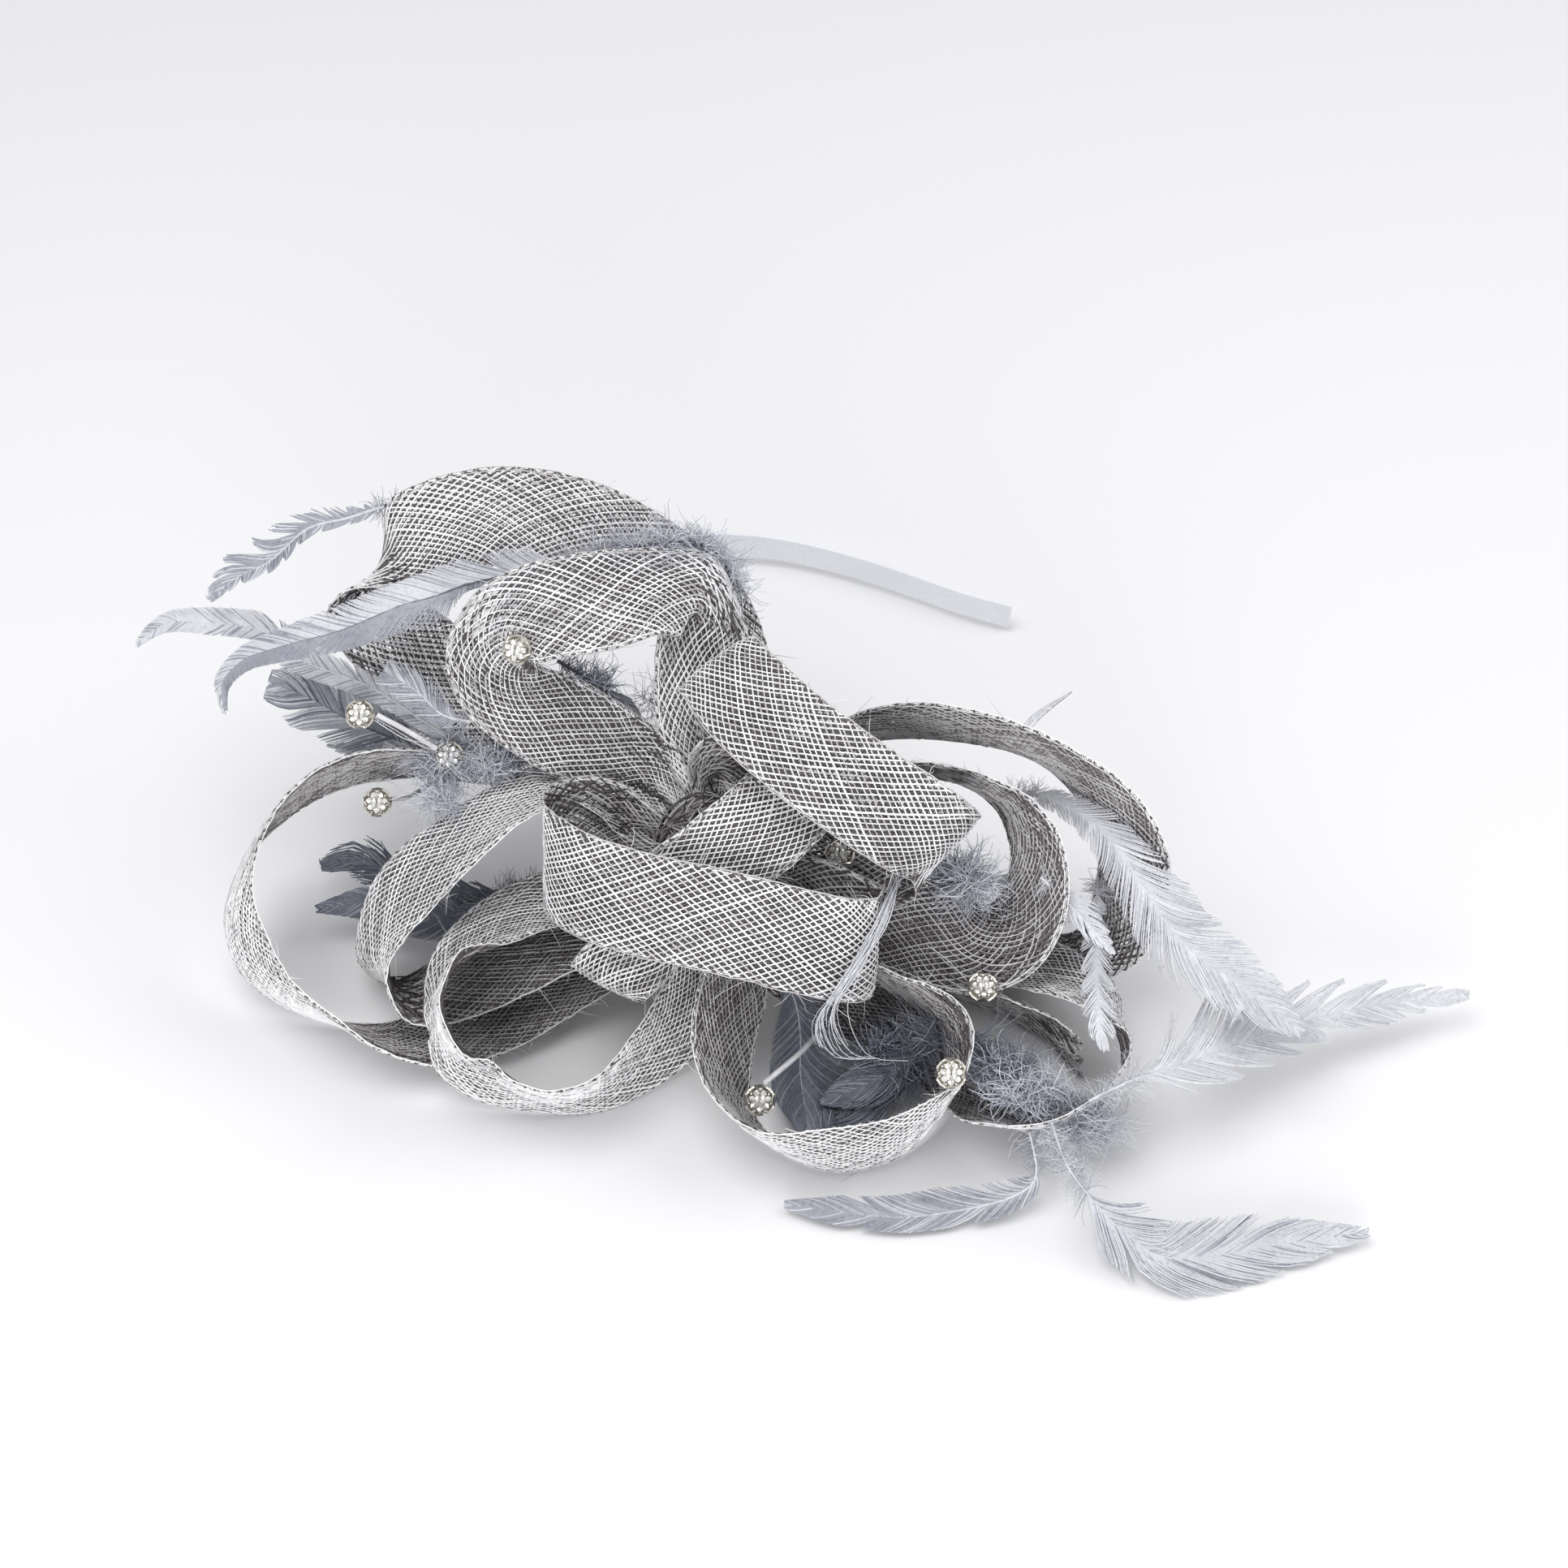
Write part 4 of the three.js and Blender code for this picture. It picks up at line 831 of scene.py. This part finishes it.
feather("plume_right_upper", 11, MOST_PALE, QUILL_PALE, clump=(16, 34), gather=0.6, lean=2.1, ruffle=0.04,
        edge=(1.05, 1.2))
feather("plume_right_lower", 12, [VANE_PALE, VANE_PALE, VANE_BLUE], QUILL_PALE, clump=(30, 70), gather=0.25,
        lean=2.1, ruffle=0.04, down_part=0.22, edge=(1.05, 1.2))
feather("plume_along_floor", 13, BLUE_FIRST, QUILL_PALE, root_far=True, clump=(30, 70), gather=0.15, lean=2,
        ruffle=0.03)
feather("plume_in_front_loop", 14, MOST_SLATE, QUILL_PALE)
feather("plume_in_low_loop", 15, SLATES, QUILL_DARK, down_part=0.5)

small_feather("front_loop_vane", [(35, -66, 20), (29, -74, 15), (19, -79, 11), (6, -83, 8)], 11, 21,
              MOST_SLATE, QUILL_DARK, down_part=0.25, edge=(0.8, 1.05))
small_feather("front_loop_low_vane", [(33, -75, 11), (20, -82, 6), (4, -83, 4)], 7, 27, SLATES, QUILL_DARK,
              down_part=0.3, edge=(0.8, 1.1))
small_feather("right_body_vane", [(44, -73, 24), (50, -80, 19), (58, -87, 14)], 11, 22, SLATES, QUILL_DARK,
              down_part=0.3, edge=(0.8, 1.1))
small_feather("left_wisp_high", [(-94, 12, 42), (-113, 20, 46), (-132, 30, 47)], 5, 23, BLUES, QUILL_PALE,
              clump=(8, 18), gather=0.5, edge=(0.7, 1.05))
small_feather("left_wisp_low", [(-94, 9, 40), (-110, 9, 40), (-125, 14, 38)], 4, 24, BLUES, QUILL_PALE,
              clump=(8, 18), gather=0.5, edge=(0.7, 1.05))
small_feather("upper_loop_vane", [(-62, 17, 66), (-51, 13, 60), (-39, 6, 53)], 5, 25, [VANE_BLUE, VANE_SLATE],
              QUILL_DARK, down_part=0.5)
small_feather("right_gap_wisp", [(62, -36, 40), (71, -44, 36), (80, -54, 31)], 5, 28, [VANE_WHITE, VANE_PALE],
              QUILL_PALE, clump=(6, 12), gather=0.4, edge=(0.7, 1.2))
small_feather("far_tip_wisp", [(58, 4, 48), (63, 11, 51), (73, 17, 55)], 1.2, 29, [VANE_WHITE, VANE_PALE],
              QUILL_PALE, down_part=0)
small_feather("low_left_vane", [(-66, -22, 22), (-79, -25, 18), (-90, -26, 15)], 6, 26, SLATES, QUILL_DARK,
              down_part=0.6)

SOFT = [DOWN_BLUE, DOWN_PALE, DOWN_PALE]
SOFT_LAST = [DOWN_PALE, DOWN_PALE, DOWN_BLUE]
DIM = [DOWN_BLUE, VANE_SLATE]
# The topmost down follows the foot of its feather, ring by ring.
top_hearts = lines_of("plume_over_top")[:6, 1] / MM
fluff("top_down", [(heart, (4.5, 4.5, 3), 120, SOFT, 10, 0.75, 0.11) for heart in top_hearts], 501)
fluff("left_down", [
    ((-91, -1, 46), (8, 5, 6), 560, SOFT, 9, 0.8, 0.13),
    ((-79, -3, 48), (5, 4, 4), 220, SOFT, 8, 0.7, 0.13),
    ((-92, -11, 43), (6, 4, 4), 220, SOFT_LAST, 9, 0.8, 0.12),
    ((-74, -1, 48), (4, 3, 3), 120, DIM, 6, 0.5, 0.16),
], 502)
fluff("right_loop_down", [
    ((41, -33, 36), (6, 5, 6), 240, DIM, 8, 0.5, 0.15),
    ((44, -36, 38), (7, 6, 7), 360, SOFT_LAST, 10, 0.55, 0.12),
], 503)
fluff("right_down", [
    ((52, -84, 22), (8, 5, 5), 260, DIM, 8, 0.5, 0.17),
    ((57, -91, 21), (11, 5, 6), 420, SOFT, 10, 0.7, 0.13),
    ((66, -95, 16), (9, 4, 5), 380, SOFT, 11, 0.6, 0.12),
    ((74, -93, 12), (7, 4, 5), 260, [DOWN_PALE], 11, 0.6, 0.12),
], 504)
fluff("front_loop_down", [
    ((24, -72, 13), (10, 6, 6), 520, [VANE_SLATE, VANE_SLATE, DOWN_BLUE], 8, 0.6, 0.17),
], 505)
fluff("upper_loop_down", [
    ((-53, 13, 62), (5, 4, 4), 200, [DOWN_BLUE, DOWN_BLUE, VANE_SLATE], 9, 0.6, 0.13),
    ((-38, 16, 52), (5, 3, 6), 80, [DOWN_BLUE, QUILL_DARK], 14, 0.95, 0.07),
], 506)

curled_tuft()
sewing_threads()
hub_wrap()
satin_band()
for number in range(1, 9):
    rosette(f"crystal_{number}_stone")

bpy.data.objects.remove(PROFILE)

# The hub, the cups and the stems show their CAD nodes.
for name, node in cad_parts.items():
    for ending, material in (("hub", HUB_PAINTED_SHADE), ("_cup", CUP_METAL), ("_stem", THREAD)):
        if name.endswith(ending):
            node.data.materials.clear()
            node.data.materials.append(material)
